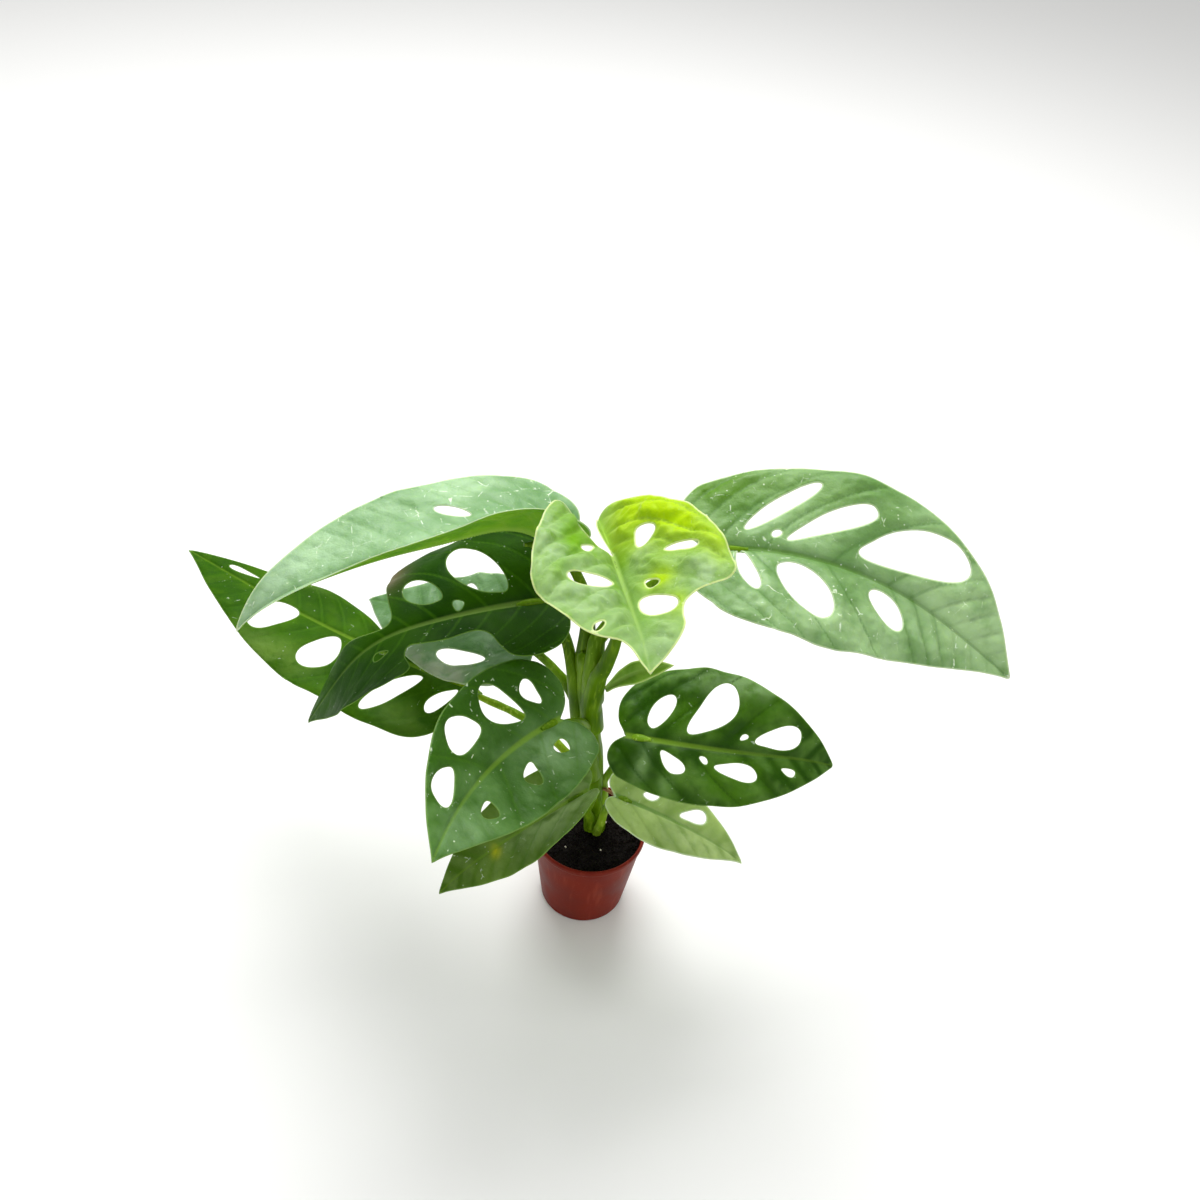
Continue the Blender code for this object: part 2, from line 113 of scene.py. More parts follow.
# %% [markdown]
# ## Daylight studio
# A large soft light above and behind the plant gives the waxy leaf tops some of their pale sheen
# and shines through the young leaves; more sheen, glow and shade are painted into the leaf
# colours. A weak fill and a bright even surrounding keep the shadows open. The floor is a plain
# near-white sheet, wide enough to look endless from every side. It lies a little below zero, so
# the pot's foot never shares its plane.

# %% Floor, world and lights
FLOOR_COLOUR = "#F4F4F2"
FLOOR_HALF = 9
FLOOR_DEPTH = 0.0003
SURROUND_STRENGTH = 0.55
AREA_LIGHTS = {  # place, aim and size in metres, then power in watts
    "sky_light": ((-0.15, 0.55, 1.15), (0, 0, 0.15), 0.9, 16.0),
    "front_fill": ((0.5, -1.1, 0.9), (0, 0, 0.12), 0.8, 3.5)}

floor_data = bpy.data.meshes.new("studio_floor")
floor_data.from_pydata([(x * FLOOR_HALF, y * FLOOR_HALF, -FLOOR_DEPTH)
                        for x, y in ((-1, -1), (1, -1), (1, 1), (-1, 1))], [], [(0, 1, 2, 3)])
floor = bpy.data.objects.new("studio_floor", floor_data)
bpy.context.scene.collection.objects.link(floor)
floor_data.materials.append(start_material(
    "matt_paper_floor", Base_Color=linear(FLOOR_COLOUR), Roughness=0.9)[0])

world = bpy.data.worlds.new("studio_surround")
world.use_nodes = True
world.node_tree.nodes["Background"].inputs["Color"].default_value = (1, 1, 1, 1)
world.node_tree.nodes["Background"].inputs["Strength"].default_value = SURROUND_STRENGTH
bpy.context.scene.world = world
bpy.context.scene.view_settings.view_transform = "Standard"
for name, (place, aim, size, watts) in AREA_LIGHTS.items():
    light_data = bpy.data.lights.new(name, "AREA")
    light_data.size = size
    light_data.energy = watts
    light = bpy.data.objects.new(name, light_data)
    light.location = place
    light.rotation_euler = (Vector(aim) - Vector(place)).to_track_quat("-Z", "Y").to_euler()
    bpy.context.scene.collection.objects.link(light)
print("lights:", list(AREA_LIGHTS))

# %% [markdown]
# ## The leaves: sizes
# Every blade is a thin heart or spearhead on a midrib, and it is easiest to describe flat.
# Each row below gives a blade's place and turn, how far its midrib droops, hooks, sways and
# twists, how its two halves fold up and curl, and its holes. These numbers repeat the CAD
# part's, so each blade lies where its CAD solid does. Lengths are in millimetres, angles in
# degrees, and a share is a part of the blade's length.
# - start and lift: where the stalk leaves the stem (height, compass) and a point it aims for
# - holes: (share, distance from the midrib, length, width, angle); minus is the right half
# - margin_left, margin_right: (share, part of the half width), for a blade with its own outline
# - belly and reach: how far along the others are widest, and how far their outline reaches
# - bumps: (share, across, two reaches, height), small folds that the CAD leaves out
# - colour patches, each (share, across, two reaches, strength): a pale kind that is a painted
#   sheen, a shade kind that is painted shade, and a glow kind that is a painted glow on the top
#   leaf, painted shade on three others, a yellow spot on one and a brownish patch on another

# %% Leaf table
SOIL_BELOW_RIM = 3.0
SOIL_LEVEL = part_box("nursery_pot")[1].z / MM - SOIL_BELOW_RIM
print("soil surface is", round(SOIL_LEVEL, 2), "mm above the floor")

LEAVES = {
    "upper_right": dict(
        base=(30, 10, 160), heading=6, pitch=8, roll=12, length=134, left=38, right=38,
        droop=48, hook=-15, sway=-35, twist=13, fold_left=(13, 29), fold_right=(18, 2),
        curl=(-15, -19), belly=(0.82, 1.13), start=(111, -50), lift=(2, 5, 150),
        holes=[(0.20, 18.5, 32, 6.2, 43), (0.34, 16, 36, 7.5, 34), (0.57, 16, 43, 16, 20),
               (0.195, 7, 4, 2.5, 40), (0.11, -11, 20, 7, 75), (0.28, -15, 27, 17, 46),
               (0.54, -10, 19, 10, 22)],
        painted_sheen=[(0.80, 6, 32, 16, 0.9), (0.34, -26, 34, 9, 0.6)],
        shade=[(0.14, 1.5, 20, 3, 0.5), (0.42, -2.5, 26, 3, 0.4)],
        painted_light_and_spots=[(0.03, 26, 16, 13, 0.9), (0.02, 6, 10, 8, 0.5), (0.27, 28, 30, 9, 0.5)]),
    "right": dict(
        base=(10, -8, 74), heading=-15, pitch=10, roll=29, length=88, left=32.5, right=23,
        droop=25, hook=29, sway=14, twist=6, fold_left=(0, 22), fold_right=(2, 10),
        curl=(-11, -15), belly=(0.90, 0.84), start=(40, 0), lift=(6, -2, 64),
        holes=[(0.14, 12, 17, 8, 65), (0.39, 15, 25, 14, 48), (0.70, 7, 18, 9, 17),
               (0.54, 6, 3.5, 2.2, 30), (0.23, -8, 12, 6, 40), (0.37, -5, 4, 2.4, 34),
               (0.52, -8, 16, 7, 8), (0.75, -6, 6, 3, 15)],
        painted_sheen=[(0.54, 27.5, 24, 5, 1.0), (0.10, -12, 3, 9, 0.6), (0.22, -15, 3, 7, 0.5)],
        shade=[(0.04, -10, 4, 9, 0.7), (0.16, -13, 3, 8, 0.7), (0.40, 1, 30, 2.5, 0.6)]),
    "lower_right": dict(
        base=(9, -14, 43), heading=-3, pitch=-18, roll=6, length=65, left=17, right=17,
        droop=12, hook=10, sway=-7, twist=0, fold_left=(16, 12), fold_right=(17, 12),
        curl=(-7, -19), belly=(0.98, 1.07), start=(10, -75), lift=(7, -12, 28),
        holes=[(0.23, 6, 7, 4, 17), (0.55, 6, 12, 6, 24)],
        painted_sheen=[(0.62, -6, 16, 7, 0.8)]),
    "front": dict(
        base=(-16, -29, 102), heading=-130, pitch=12, roll=-19, length=93, left=27, right=29.5,
        droop=-10, hook=5, sway=34, twist=-3, fold_left=(7, 4), fold_right=(26, 12),
        curl=(17, 1), belly=(0.85, 1.07), start=(64, -110), lift=(-7, -20, 96),
        holes=[(0.11, 10, 8, 6, 30), (0.35, 12, 12, 6.5, 35), (0.65, 9, 9, 6, 30),
               (0.10, -14, 11, 7, 60), (0.26, -15, 22, 12, 45), (0.48, -16, 17, 12, 15),
               (0.70, -9, 16, 9, -15)],
        painted_sheen=[(0.16, 9, 16, 9, 0.8), (0.80, 5, 16, 8, 0.4)],
        painted_light_and_spots=[(0.30, -24, 34, 12, 1.0), (0.12, -20, 14, 12, 0.8)]),
    "lower_front": dict(
        base=(-3, -24, 56), heading=-155, pitch=-26, roll=4, length=75, left=20, right=20,
        droop=9, hook=13, sway=4, twist=-7, fold_left=(38, -4), fold_right=(16, 10),
        curl=(-21, -7), belly=(1.02, 0.99), start=(18, -110), lift=(0, -17, 48),
        holes=[], painted_sheen=[(0.16, 3, 22, 13, 1.0)], painted_light_and_spots=[(0.59, 2.3, 2.2, 3.4, 1.0)]),
    "far_left": dict(
        base=(-52, 16, 65), heading=168, pitch=6, roll=-5, length=151, left=34, right=32,
        droop=0, hook=6, sway=-17, twist=0, fold_left=(10, 8), fold_right=(2, 7),
        curl=(-25, -50), start=(42, 175), lift=(-30, 13, 64),
        holes=[(0.64, 7, 21, 16, 43), (0.45, 13, 20, 14, 75), (0.22, 16, 30, 8, 57),
               (0.09, 12, 18, 6, 66), (0.81, -4.5, 15, 2.6, -8)],
        margin_left=[(0, 0), (0.01, 0.12), (0.03, 0.26), (0.042, 0.40), (0.048, 0.56),
                     (0.055, 0.72), (0.085, 0.90), (0.14, 1.02), (0.22, 1.03), (0.34, 1.0),
                     (0.53, 0.89), (0.70, 0.65), (0.84, 0.36), (0.93, 0.15), (1, 0)],
        margin_right=[(0, 0), (0.03, 0.03), (0.13, 0.03), (0.25, 0.11), (0.335, 0.31),
                      (0.41, 0.50), (0.495, 0.62), (0.57, 0.67), (0.62, 0.60), (0.66, 0.47),
                      (0.75, 0.37), (0.87, 0.20), (0.94, 0.10), (1, 0)],
        painted_sheen=[(0.16, 27, 14, 7, 0.5), (0.56, 24, 18, 7, 0.7), (0.64, -18, 9, 3, 0.9)],
        painted_light_and_spots=[(0.60, -12, 20, 8, 0.7), (0.40, 2, 20, 4, 0.5)]),
    "centre_left": dict(
        base=(-25, 14, 123), heading=-165, pitch=-3, roll=-9, length=121, left=31, right=40,
        droop=16, hook=42, sway=17, twist=10, bend_at=0.60, fold_left=(2, 5),
        fold_right=(50, -18), curl=(25, -60), start=(86, 172), lift=(-17, 12, 112),
        holes=[(0.22, -17, 30, 14, 56), (0.40, -14, 18, 10, 48), (0.30, -4, 4.5, 4, 0),
               (0.58, 8, 6, 4.5, 0)],
        margin_left=[(0, 0), (-0.035, 0.12), (-0.04, 0.45), (-0.01, 0.78), (0.05, 1.0),
                     (0.11, 1.12), (0.17, 1.06), (0.20, 0.8), (0.225, 0.47), (0.27, 0.34),
                     (0.36, 0.38), (0.44, 0.34), (0.485, 0.32), (0.503, 0.5), (0.495, 0.76),
                     (0.515, 0.92), (0.56, 0.95), (0.60, 0.95), (0.66, 0.92), (0.76, 0.70),
                     (0.86, 0.42), (0.94, 0.17), (1, 0)],
        margin_right=[(0, 0), (-0.04, 0.2), (-0.04, 0.5), (0, 0.78), (0.065, 0.88),
                      (0.18, 0.97), (0.265, 0.95), (0.31, 1.0), (0.37, 1.08), (0.43, 1.07),
                      (0.48, 0.95), (0.505, 0.7), (0.51, 0.42), (0.512, 0.2), (0.54, 0.12),
                      (0.60, 0.15), (0.70, 0.28), (0.78, 0.40), (0.84, 0.42), (0.90, 0.36),
                      (0.96, 0.2), (1, 0)],
        painted_light_and_spots=[(0.49, -37, 7, 12, 1.0)]),
    "back_left": dict(
        base=(-33, 12, 102), heading=158, pitch=-8, roll=-11, length=95, left=28, right=25,
        droop=14, hook=6, sway=-6, twist=5, fold_left=(3, 8), fold_right=(19, 0),
        curl=(-26, -6), belly=(1.05, 1.04), reach=0.89, start=(66, 140), lift=(-22, 11, 92),
        holes=[(0.24, 17, 20, 7, 10), (0.45, 11, 14, 6, 35), (0.36, -12, 15, 7, 40)],
        painted_sheen=[(0.30, 26, 34, 7, 1.0)]),
    "upper_left": dict(
        base=(-22, 12, 154), heading=-158, pitch=8, roll=-22, length=132, left=29, right=32.5,
        droop=29, hook=41, sway=11, twist=0, fold_left=(72, 42), fold_right=(8, 12),
        curl=(27, -26), belly=(1.13, 1.24), start=(111, 110), lift=(-7, 9, 140),
        holes=[(0.30, -15, 13, 5, 33)],
        margin_left=[(0, 0), (-0.05, 0.18), (-0.05, 0.40), (0.0, 0.60), (0.12, 0.74),
                     (0.24, 0.76), (0.36, 0.66), (0.50, 0.52), (0.64, 0.38), (0.78, 0.24),
                     (0.90, 0.11), (1, 0)],
        painted_sheen=[(0.82, -6, 26, 14, 0.6)],
        bumps=[(0.42, 10, 42, 18, 11.5), (0.18, 11, 19, 18, 13.5), (0.0, 2, 13, 14, -6.5)]),
    "top": dict(
        base=(-4, -18, 174), heading=-76, pitch=10, roll=1, length=68, left=38, right=34,
        droop=-3, hook=20, sway=-2, twist=0, fold_left=(50, 18), fold_right=(52, 18),
        curl=(-20, -41), start=(92, -70), lift=(15, -13, 136),
        holes=[(0.06, 13.5, 9, 8, 15), (0.27, 23.5, 11, 4.2, 62), (0.41, 9.2, 5.5, 3.6, 30),
               (0.575, 7.9, 14, 9.5, 40), (0.38, -13.5, 18, 7, 75), (0.08, -13, 6, 3, 55),
               (0.74, -14, 6, 2.6, 35)],
        margin_left=[(0, 0), (-0.055, -0.02), (-0.10, -0.06), (-0.17, -0.10), (-0.26, -0.10),
                     (-0.36, -0.04), (-0.42, 0.05), (-0.425, 0.16), (-0.37, 0.29),
                     (-0.22, 0.51), (-0.075, 0.67), (0.005, 0.79), (0.07, 0.89), (0.18, 0.94),
                     (0.34, 0.98), (0.45, 0.98), (0.53, 0.95), (0.565, 0.88), (0.59, 0.73),
                     (0.605, 0.57), (0.64, 0.455), (0.71, 0.40), (0.78, 0.38), (0.845, 0.31),
                     (0.93, 0.16), (1, 0)],
        margin_right=[(0, 0), (0.02, 0.12), (0.02, 0.24), (-0.05, 0.36), (-0.13, 0.45),
                      (-0.21, 0.51), (-0.28, 0.58), (-0.23, 0.69), (-0.10, 0.84),
                      (0.08, 0.94), (0.28, 1.0), (0.48, 0.98), (0.63, 0.82), (0.72, 0.67),
                      (0.78, 0.55), (0.812, 0.43), (0.822, 0.31), (0.83, 0.22), (0.86, 0.15),
                      (0.90, 0.11), (0.95, 0.07), (1, 0)],
        bumps=[(-0.10, 20, 18, 18, 2.5), (0.10, -20, 14, 10, -2.5), (0.20, 22, 12, 9, -1.0)],
        painted_sheen=[(0.45, -18, 22, 14, 0.9), (0.1, -27, 14, 6, 1.0), (0.85, 4, 12, 8, 0.7),
              (0.52, 27, 8, 9, 1.0), (0.20, 8, 7, 10, 0.7)],
        painted_light_and_spots=[(-0.15, 16, 20, 17, 1.0), (0.10, 28, 12, 8, 0.9), (0.42, 12, 5, 5, 1.0),
              (0.35, 34, 9, 5, 0.7), (0.62, 14, 5, 4, 0.7)],
        shade=[(0.06, -19, 11, 7, 1.0), (0.36, -24, 6, 4, 0.5), (0.14, 3, 11, 4, 0.5),
               (0.33, -5, 10, 2.5, 0.4), (0.66, 3, 8, 3, 0.4)]),
}

print("blades from", min(leaf["length"] for leaf in LEAVES.values()), "to",
      max(leaf["length"] for leaf in LEAVES.values()), "mm long")

# %% [markdown]
# ## The leaves: a flat drawing
# A blade starts as a flat sheet of small triangles with its holes left open, like a paper
# pattern. The margin is one rounded line through a few points, and each hole is a soft egg
# shape that is never quite regular. Points are closer together along the midrib, the margin
# and the holes, where the finest relief will be.

# %% Outline and holes
HALF_MARGIN = [
    (0.0, 0.0), (-0.055, 0.20), (-0.06, 0.48), (0.01, 0.78), (0.15, 0.96), (0.34, 1.0),
    (0.53, 0.89), (0.70, 0.65), (0.84, 0.36), (0.93, 0.15), (1.0, 0.0),
]
MARGIN_STEP = 0.9
HOLE_STEP = 0.7
UNEVEN_MARGIN = 0.008  # part of the half width by which the margin wavers
EGG_SHAPE = 0.28
TINY = 1e-12  # keeps a division away from zero


def rounded_line(points, steps=12):
    """A smooth line through the points, with some steps between each pair."""
    row = np.array(points, float)
    row = np.vstack([2 * row[0] - row[1], row, 2 * row[-1] - row[-2]])
    share = np.linspace(0, 1, steps, endpoint=False)[:, None]
    out = []
    for a, b, c, d in zip(row, row[1:], row[2:], row[3:]):
        out.append(0.5 * (2 * b + (c - a) * share + (2 * a - 5 * b + 4 * c - d) * share ** 2
                          + (3 * b - a - 3 * c + d) * share ** 3))
    return np.vstack(out + [row[-2:-1]])


def even_steps(line, step, closed=False):
    """The same line with points an even step apart."""
    if closed:
        line = np.vstack([line, line[:1]])
    reach = np.concatenate([[0], np.cumsum(np.linalg.norm(np.diff(line, axis=0), axis=1))])
    count = max(int(round(reach[-1] / step)), 3)
    marks = np.linspace(0, reach[-1], count + 1)
    out = np.stack([np.interp(marks, reach, line[:, k]) for k in range(line.shape[1])], axis=1)
    return out[:-1] if closed else out


def margin_line(leaf, side, rng):
    """One half of the flat outline in mm, from the notch at the base to the tip."""
    width = leaf["left"] if side > 0 else leaf["right"]
    phase = rng.uniform(0, math.tau, 3)
    own = leaf.get("margin_left" if side > 0 else "margin_right")
    if own:
        along, wide = rounded_line(own).T
    else:
        along, wide = rounded_line(HALF_MARGIN).T
        belly = leaf["belly"][0 if side > 0 else 1]
        along = np.where(along > 0, np.abs(along) ** belly, along) * leaf.get("reach", 1.0)
        wide = np.maximum(wide, 0)
    shape = np.sin(along * 14 + phase[0]) + 0.6 * np.sin(along * 31 + phase[1])
    wide = wide + UNEVEN_MARGIN * shape * np.sin(math.pi * np.clip(along, 0, 1))
    line = np.stack([along * leaf["length"], side * wide * width], axis=1)
    return even_steps(line, MARGIN_STEP)


def hole_line(leaf, hole, rng):
    """One soft egg-shaped hole in mm."""
    along, across, length, width, angle = hole
    side = 1.0 if across >= 0 else -1.0
    turn = np.linspace(0, math.tau, 60, endpoint=False)
    wobble = 1 + 0.06 * np.cos(2 * turn + rng.uniform(0, 6)) + 0.07 * np.cos(
        3 * turn + rng.uniform(0, 6))
    x = length / 2 * np.cos(turn) * wobble
    y = width / 2 * np.sin(turn) * (1 + EGG_SHAPE * np.cos(turn)) * wobble
    c, s = math.cos(math.radians(angle)), math.sin(math.radians(angle)) * side
    line = np.stack([along * leaf["length"] + x * c - y * s, across + x * s + y * c], axis=1)
    return even_steps(line, HOLE_STEP, closed=True)


def inside(points, loop):
    """Which points lie inside a closed loop."""
    a, b = loop, np.roll(loop, -1, axis=0)
    x, y = points[:, :1], points[:, 1:]
    crosses = (a[:, 1] > y) != (b[:, 1] > y)
    rise = np.where(np.abs(b[:, 1] - a[:, 1]) < TINY, TINY, b[:, 1] - a[:, 1])
    return (crosses & (x < (b[:, 0] - a[:, 0]) * (y - a[:, 1]) / rise + a[:, 0])).sum(1) % 2 == 1


def distance(points, loop, batch=2000):
    """Distance in mm of each point from a closed loop, a batch at a time to spare memory."""
    span = np.roll(loop, -1, axis=0) - loop
    size = np.maximum((span ** 2).sum(1), TINY)
    best = np.zeros(len(points))
    for first in range(0, len(points), batch):
        part = points[first:first + batch, None, :]
        share = np.clip(((part - loop) * span).sum(2) / size, 0, 1)
        gap = np.linalg.norm(part - (loop + span * share[..., None]), axis=2)
        best[first:first + batch] = gap.min(1)
    return best


print("a blade's margin has", len(rounded_line(HALF_MARGIN)), "points on each half")

# %% Flat sheet of triangles
SHEET_STEP = 1.0
EDGE_ROOM = 0.55  # no loose point comes nearer to an edge than this
NEAR_RIB = [0.0, 0.4, 0.8, 1.25, 1.75, 2.4, 3.2, 4.1]


def flat_sheet(leaf, rng):
    """Points and triangles of the flat blade, and each point's distance from its edges."""
    left = margin_line(leaf, 1, rng)
    right = margin_line(leaf, -1, rng)
    outline = np.vstack([left[:-1], right[:0:-1]])
    holes = [hole_line(leaf, hole, rng) for hole in leaf["holes"]]
    loops = [outline] + holes
    reach = max(leaf["left"], leaf["right"]) + 2
    rows = NEAR_RIB + list(np.arange(NEAR_RIB[-1] + SHEET_STEP, reach, SHEET_STEP))
    grid = []
    for number, across in enumerate(rows):
        start = outline[:, 0].min() + SHEET_STEP * 0.5 * (number % 2)
        for x in np.arange(start, leaf["length"], SHEET_STEP):
            grid.append((x, across))
            if across:
                grid.append((x, -across))
    grid = np.array(grid)
    near = np.min([distance(grid, loop) for loop in loops], axis=0)
    keep = inside(grid, outline) & (near > EDGE_ROOM)
    for hole in holes:
        keep &= ~inside(grid, hole)
    points = np.vstack(loops + [grid[keep]])
    edges, first = [], 0
    for loop in loops:
        count = len(loop)
        edges += [(first + i, first + (i + 1) % count) for i in range(count)]
        first += count
    cut = delaunay_2d_cdt([Vector(p) for p in points], edges, [], 0, 1e-6)
    flat = np.array([tuple(p) for p in cut[0]])
    faces = np.array([face for face in cut[2] if len(face) == 3])
    middle = flat[faces].mean(1)
    good = inside(middle, outline)
    for hole in holes:
        good &= ~inside(middle, hole)
    faces = faces[good]
    turn = flat[faces]
    spin = np.cross(turn[:, 1] - turn[:, 0], turn[:, 2] - turn[:, 0])
    faces[spin < 0] = faces[spin < 0][:, ::-1]
    used = np.unique(faces)
    renumber = np.full(len(flat), -1)
    renumber[used] = np.arange(len(used))
    flat, faces = flat[used], renumber[faces]
    return flat, faces, np.min([distance(flat, loop) for loop in loops], axis=0)


print("a triangle is about", SHEET_STEP, "mm wide, and smaller beside the midrib and edges")

# %% [markdown]
# ## The leaves: midrib and veins
# The side veins leave the midrib at a steep angle and bend towards the tip, and the holes lie
# between them. A "vein coordinate" slides every point back along its vein to the midrib, so
# all points with the same coordinate lie on one vein. From it come two values at each point:
# how far it is from the nearest vein, and a wave that is 0 on a vein and 1 half way between.

# %% Vein coordinate
VEIN_LEAN = 0.62
VEIN_BEND = 0.45
VEIN_GAP = 13.0
VEIN_HOLE = 7  # a shorter hole has no vein of its own beside it
VEIN_SLANT = 0.72  # a step along the midrib is this far across the slanting veins


def vein_foot(leaf, x, y):
    """Where along the midrib, in mm, the vein through a point starts."""
    width = np.where(y >= 0, leaf["left"], leaf["right"])
    away = np.abs(y)
    return x - VEIN_LEAN * away - VEIN_BEND * away ** 2 / width


def vein_feet(leaf, side):
    """The vein starts on one half, in mm along the midrib: between its holes and evenly after."""
    marks = sorted(float(vein_foot(leaf, np.array(h[0] * leaf["length"]), np.array(h[1] * 1.0)))
                   for h in leaf["holes"] if h[1] * side > 0 and h[2] > VEIN_HOLE)
    feet = [(a + b) / 2 for a, b in zip(marks, marks[1:])]
    if marks:
        feet = [marks[0] - VEIN_GAP * 0.6] + feet + [marks[-1] + VEIN_GAP * 0.6]
    else:
        feet = [leaf["length"] * 0.1]
    while feet[0] > -2.2 * VEIN_GAP:
        feet.insert(0, feet[0] - VEIN_GAP * 0.9)
    while feet[-1] < leaf["length"]:
        feet.append(feet[-1] + VEIN_GAP * (0.95 - 0.3 * feet[-1] / leaf["length"]))
    return np.array(feet)


def vein_values(leaf, flat):
    """Distance to the nearest vein in mm, and the 0 to 1 wave between veins."""
    foot = vein_foot(leaf, flat[:, 0], flat[:, 1])
    gap, wave = np.zeros(len(flat)), np.zeros(len(flat))
    for side in (1, -1):
        mine = flat[:, 1] * side >= 0
        feet = vein_feet(leaf, side)
        place = np.clip(np.searchsorted(feet, foot[mine]), 1, len(feet) - 1)
        before, after = feet[place - 1], feet[place]
        share = np.clip((foot[mine] - before) / (after - before), 0, 1)
        wave[mine] = np.sin(math.pi * share)
        gap[mine] = np.minimum(share, 1 - share) * (after - before) * VEIN_SLANT
    return gap, wave


print("veins on the front leaf's left half:", len(vein_feet(LEAVES["front"], 1)))

# %% [markdown]
# ## The leaves: laying a sheet over its midrib
# Each point keeps its place along the midrib and its distance from it. The midrib is a bent
# line with a direction for "sideways" and "up" at every step, found here with plain turns.
# These are stored on the sheet as attributes, and Geometry Nodes then do the bending, so the
# relief, the ripple and the thickness stay numbers that can be changed in one place.

# %% Midrib frames
MIDRIB_STEPS = 40
HOOK_AT = 0.85  # a hooked tip bends about this share of the length, over HOOK_REACH of it
HOOK_REACH = 0.36


def turned(axis, degrees):
    """Turn matrices about one axis for an array of angles."""
    angle = np.radians(np.asarray(degrees, float))
    out = np.zeros(angle.shape + (3, 3))
    i, j, k = {"x": (0, 1, 2), "y": (1, 2, 0), "z": (2, 0, 1)}[axis]
    out[..., i, i] = 1
    out[..., j, j] = out[..., k, k] = np.cos(angle)
    out[..., j, k] = -np.sin(angle)
    out[..., k, j] = np.sin(angle)
    return out


def midrib(leaf):
    """The midrib's points and its frames: columns along, sideways and up."""
    share = np.linspace(0, 1, MIDRIB_STEPS + 1)
    near = np.clip((share - leaf.get("bend_at", HOOK_AT) + HOOK_REACH / 2) / HOOK_REACH, 0, 1)
    drop = leaf["droop"] * share + leaf["hook"] * near ** 2 * (3 - 2 * near)
    first = (turned("z", leaf["heading"]) @ turned("y", -leaf["pitch"])
             @ turned("x", leaf["roll"]))
    frames = first @ turned("z", leaf["sway"] * share) @ turned("y", drop) @ turned(
        "x", leaf["twist"] * share)
    steps = (frames[1:, :, 0] + frames[:-1, :, 0]) / 2 * leaf["length"] / MIDRIB_STEPS
    line = np.vstack([np.zeros(3), np.cumsum(steps, axis=0)])
    return line + np.array(leaf["base"]) + (0, 0, SOIL_LEVEL), frames


def on_midrib(leaf, along):
    """Midrib point and frame at shares of the length."""
    line, frames = midrib(leaf)
    held = np.clip(along, 0, 1)
    place = np.clip((held * MIDRIB_STEPS).astype(int), 0, MIDRIB_STEPS - 1)
    part = (held * MIDRIB_STEPS - place)[:, None]
    frame_here = frames[place] * (1 - part[..., None]) + frames[place + 1] * part[..., None]
    middle = line[place] * (1 - part) + line[place + 1] * part
    beyond = (along - held) * leaf["length"]
    return middle + frame_here[:, :, 0] * beyond[:, None], frame_here


def patches(leaf, flat, label):
    """The sum of a leaf's own rows of (share, across, two reaches, amount), each a soft spot."""
    total = np.zeros(len(flat))
    for along, across, reach_along, reach_across, amount in leaf.get(label, []):
        away = (((flat[:, 0] - along * leaf["length"]) / reach_along) ** 2
                + ((flat[:, 1] - across) / reach_across) ** 2)
        total += amount * np.exp(-away)
    return total


print("front leaf's tip is at", [round(v) for v in midrib(LEAVES["front"])[0][-1]], "mm")

# %% Pattern with its attributes
# colour patches: a painted sheen; a painted glow, painted shade and two spots; painted shade
PATCH_KINDS = ("painted_sheen", "painted_light_and_spots", "shade")
FLAT_BESIDE = 1.5  # relief starts this far from the midrib and is full FULL_RELIEF mm further
FULL_RELIEF = 6.0


def pattern_mesh(name, leaf, seed):
    """The flat sheet as a mesh, with everything the node tree needs stored on its points."""
    rng = np.random.default_rng(seed)
    flat, faces, edge = flat_sheet(leaf, rng)
    along, across = flat[:, 0] / leaf["length"], flat[:, 1]
    held = np.clip(along, 0, 1)
    spine, frame_here = on_midrib(leaf, along)
    left = across >= 0
    reach = np.abs(across) / np.where(left, leaf["left"], leaf["right"])
    fold = [np.where(left, leaf["fold_left"][k], leaf["fold_right"][k]) for k in (0, 1)]
    curl = np.radians(np.where(left, *leaf["curl"])) * reach
    gap, wave = vein_values(leaf, flat)
    rib_width = 1.7 - 1.2 * held
    mesh = bpy.data.meshes.new(name + "_pattern")
    mesh.from_pydata(np.column_stack([flat * MM, np.zeros(len(flat))]).tolist(), [],
                     faces.tolist())
    values = {
        "chord": np.abs(across) * np.sinc(curl / 2 / math.pi) * MM,
        "rise": np.radians(fold[0] + (fold[1] - fold[0]) * held) + curl / 2,
        "lift": patches(leaf, flat, "bumps") * MM, "edge": edge, "along": along,
        "across": across, "vein": gap, "wave": wave, "reach": reach,
        "rib": np.exp(-(across / rib_width) ** 2) * np.clip(1 + along / 0.03, 0, 1),
        "beside": np.clip((np.abs(across) - FLAT_BESIDE) / FULL_RELIEF, 0, 1),
        **{label: np.clip(patches(leaf, flat, label), 0, 1) for label in PATCH_KINDS}}
    ways = {"spine": spine * MM, "up_way": frame_here[:, :, 2],
            "side_way": frame_here[:, :, 1] * np.where(left, 1, -1)[:, None]}
    for kind, field, rows in (("FLOAT", "value", values), ("FLOAT_VECTOR", "vector", ways)):
        for label, data in rows.items():
            mesh.attributes.new(label, kind, "POINT").data.foreach_set(
                field, np.asarray(data, np.float32).ravel())
    return mesh


print("patches of colour a blade may have:", ", ".join(PATCH_KINDS))

# %% [markdown]
# ## Helpers for nodes
# One function adds any node with its settings, values and links, so the trees below read as
# recipes. A second multiplies several values, because most masks and heights are a product.
# Two more start and end a Geometry Nodes tree: its sizes become named inputs, and it ends in
# real faces, because instances would be lost when the piece is exported.

# %% Node helper
SMOOTH = {"interpolation_type": "SMOOTHSTEP"}
TIMES, PLUS, MINUS, SCALE = ({"operation": word} for word in
                             ("MULTIPLY", "ADD", "SUBTRACT", "SCALE"))


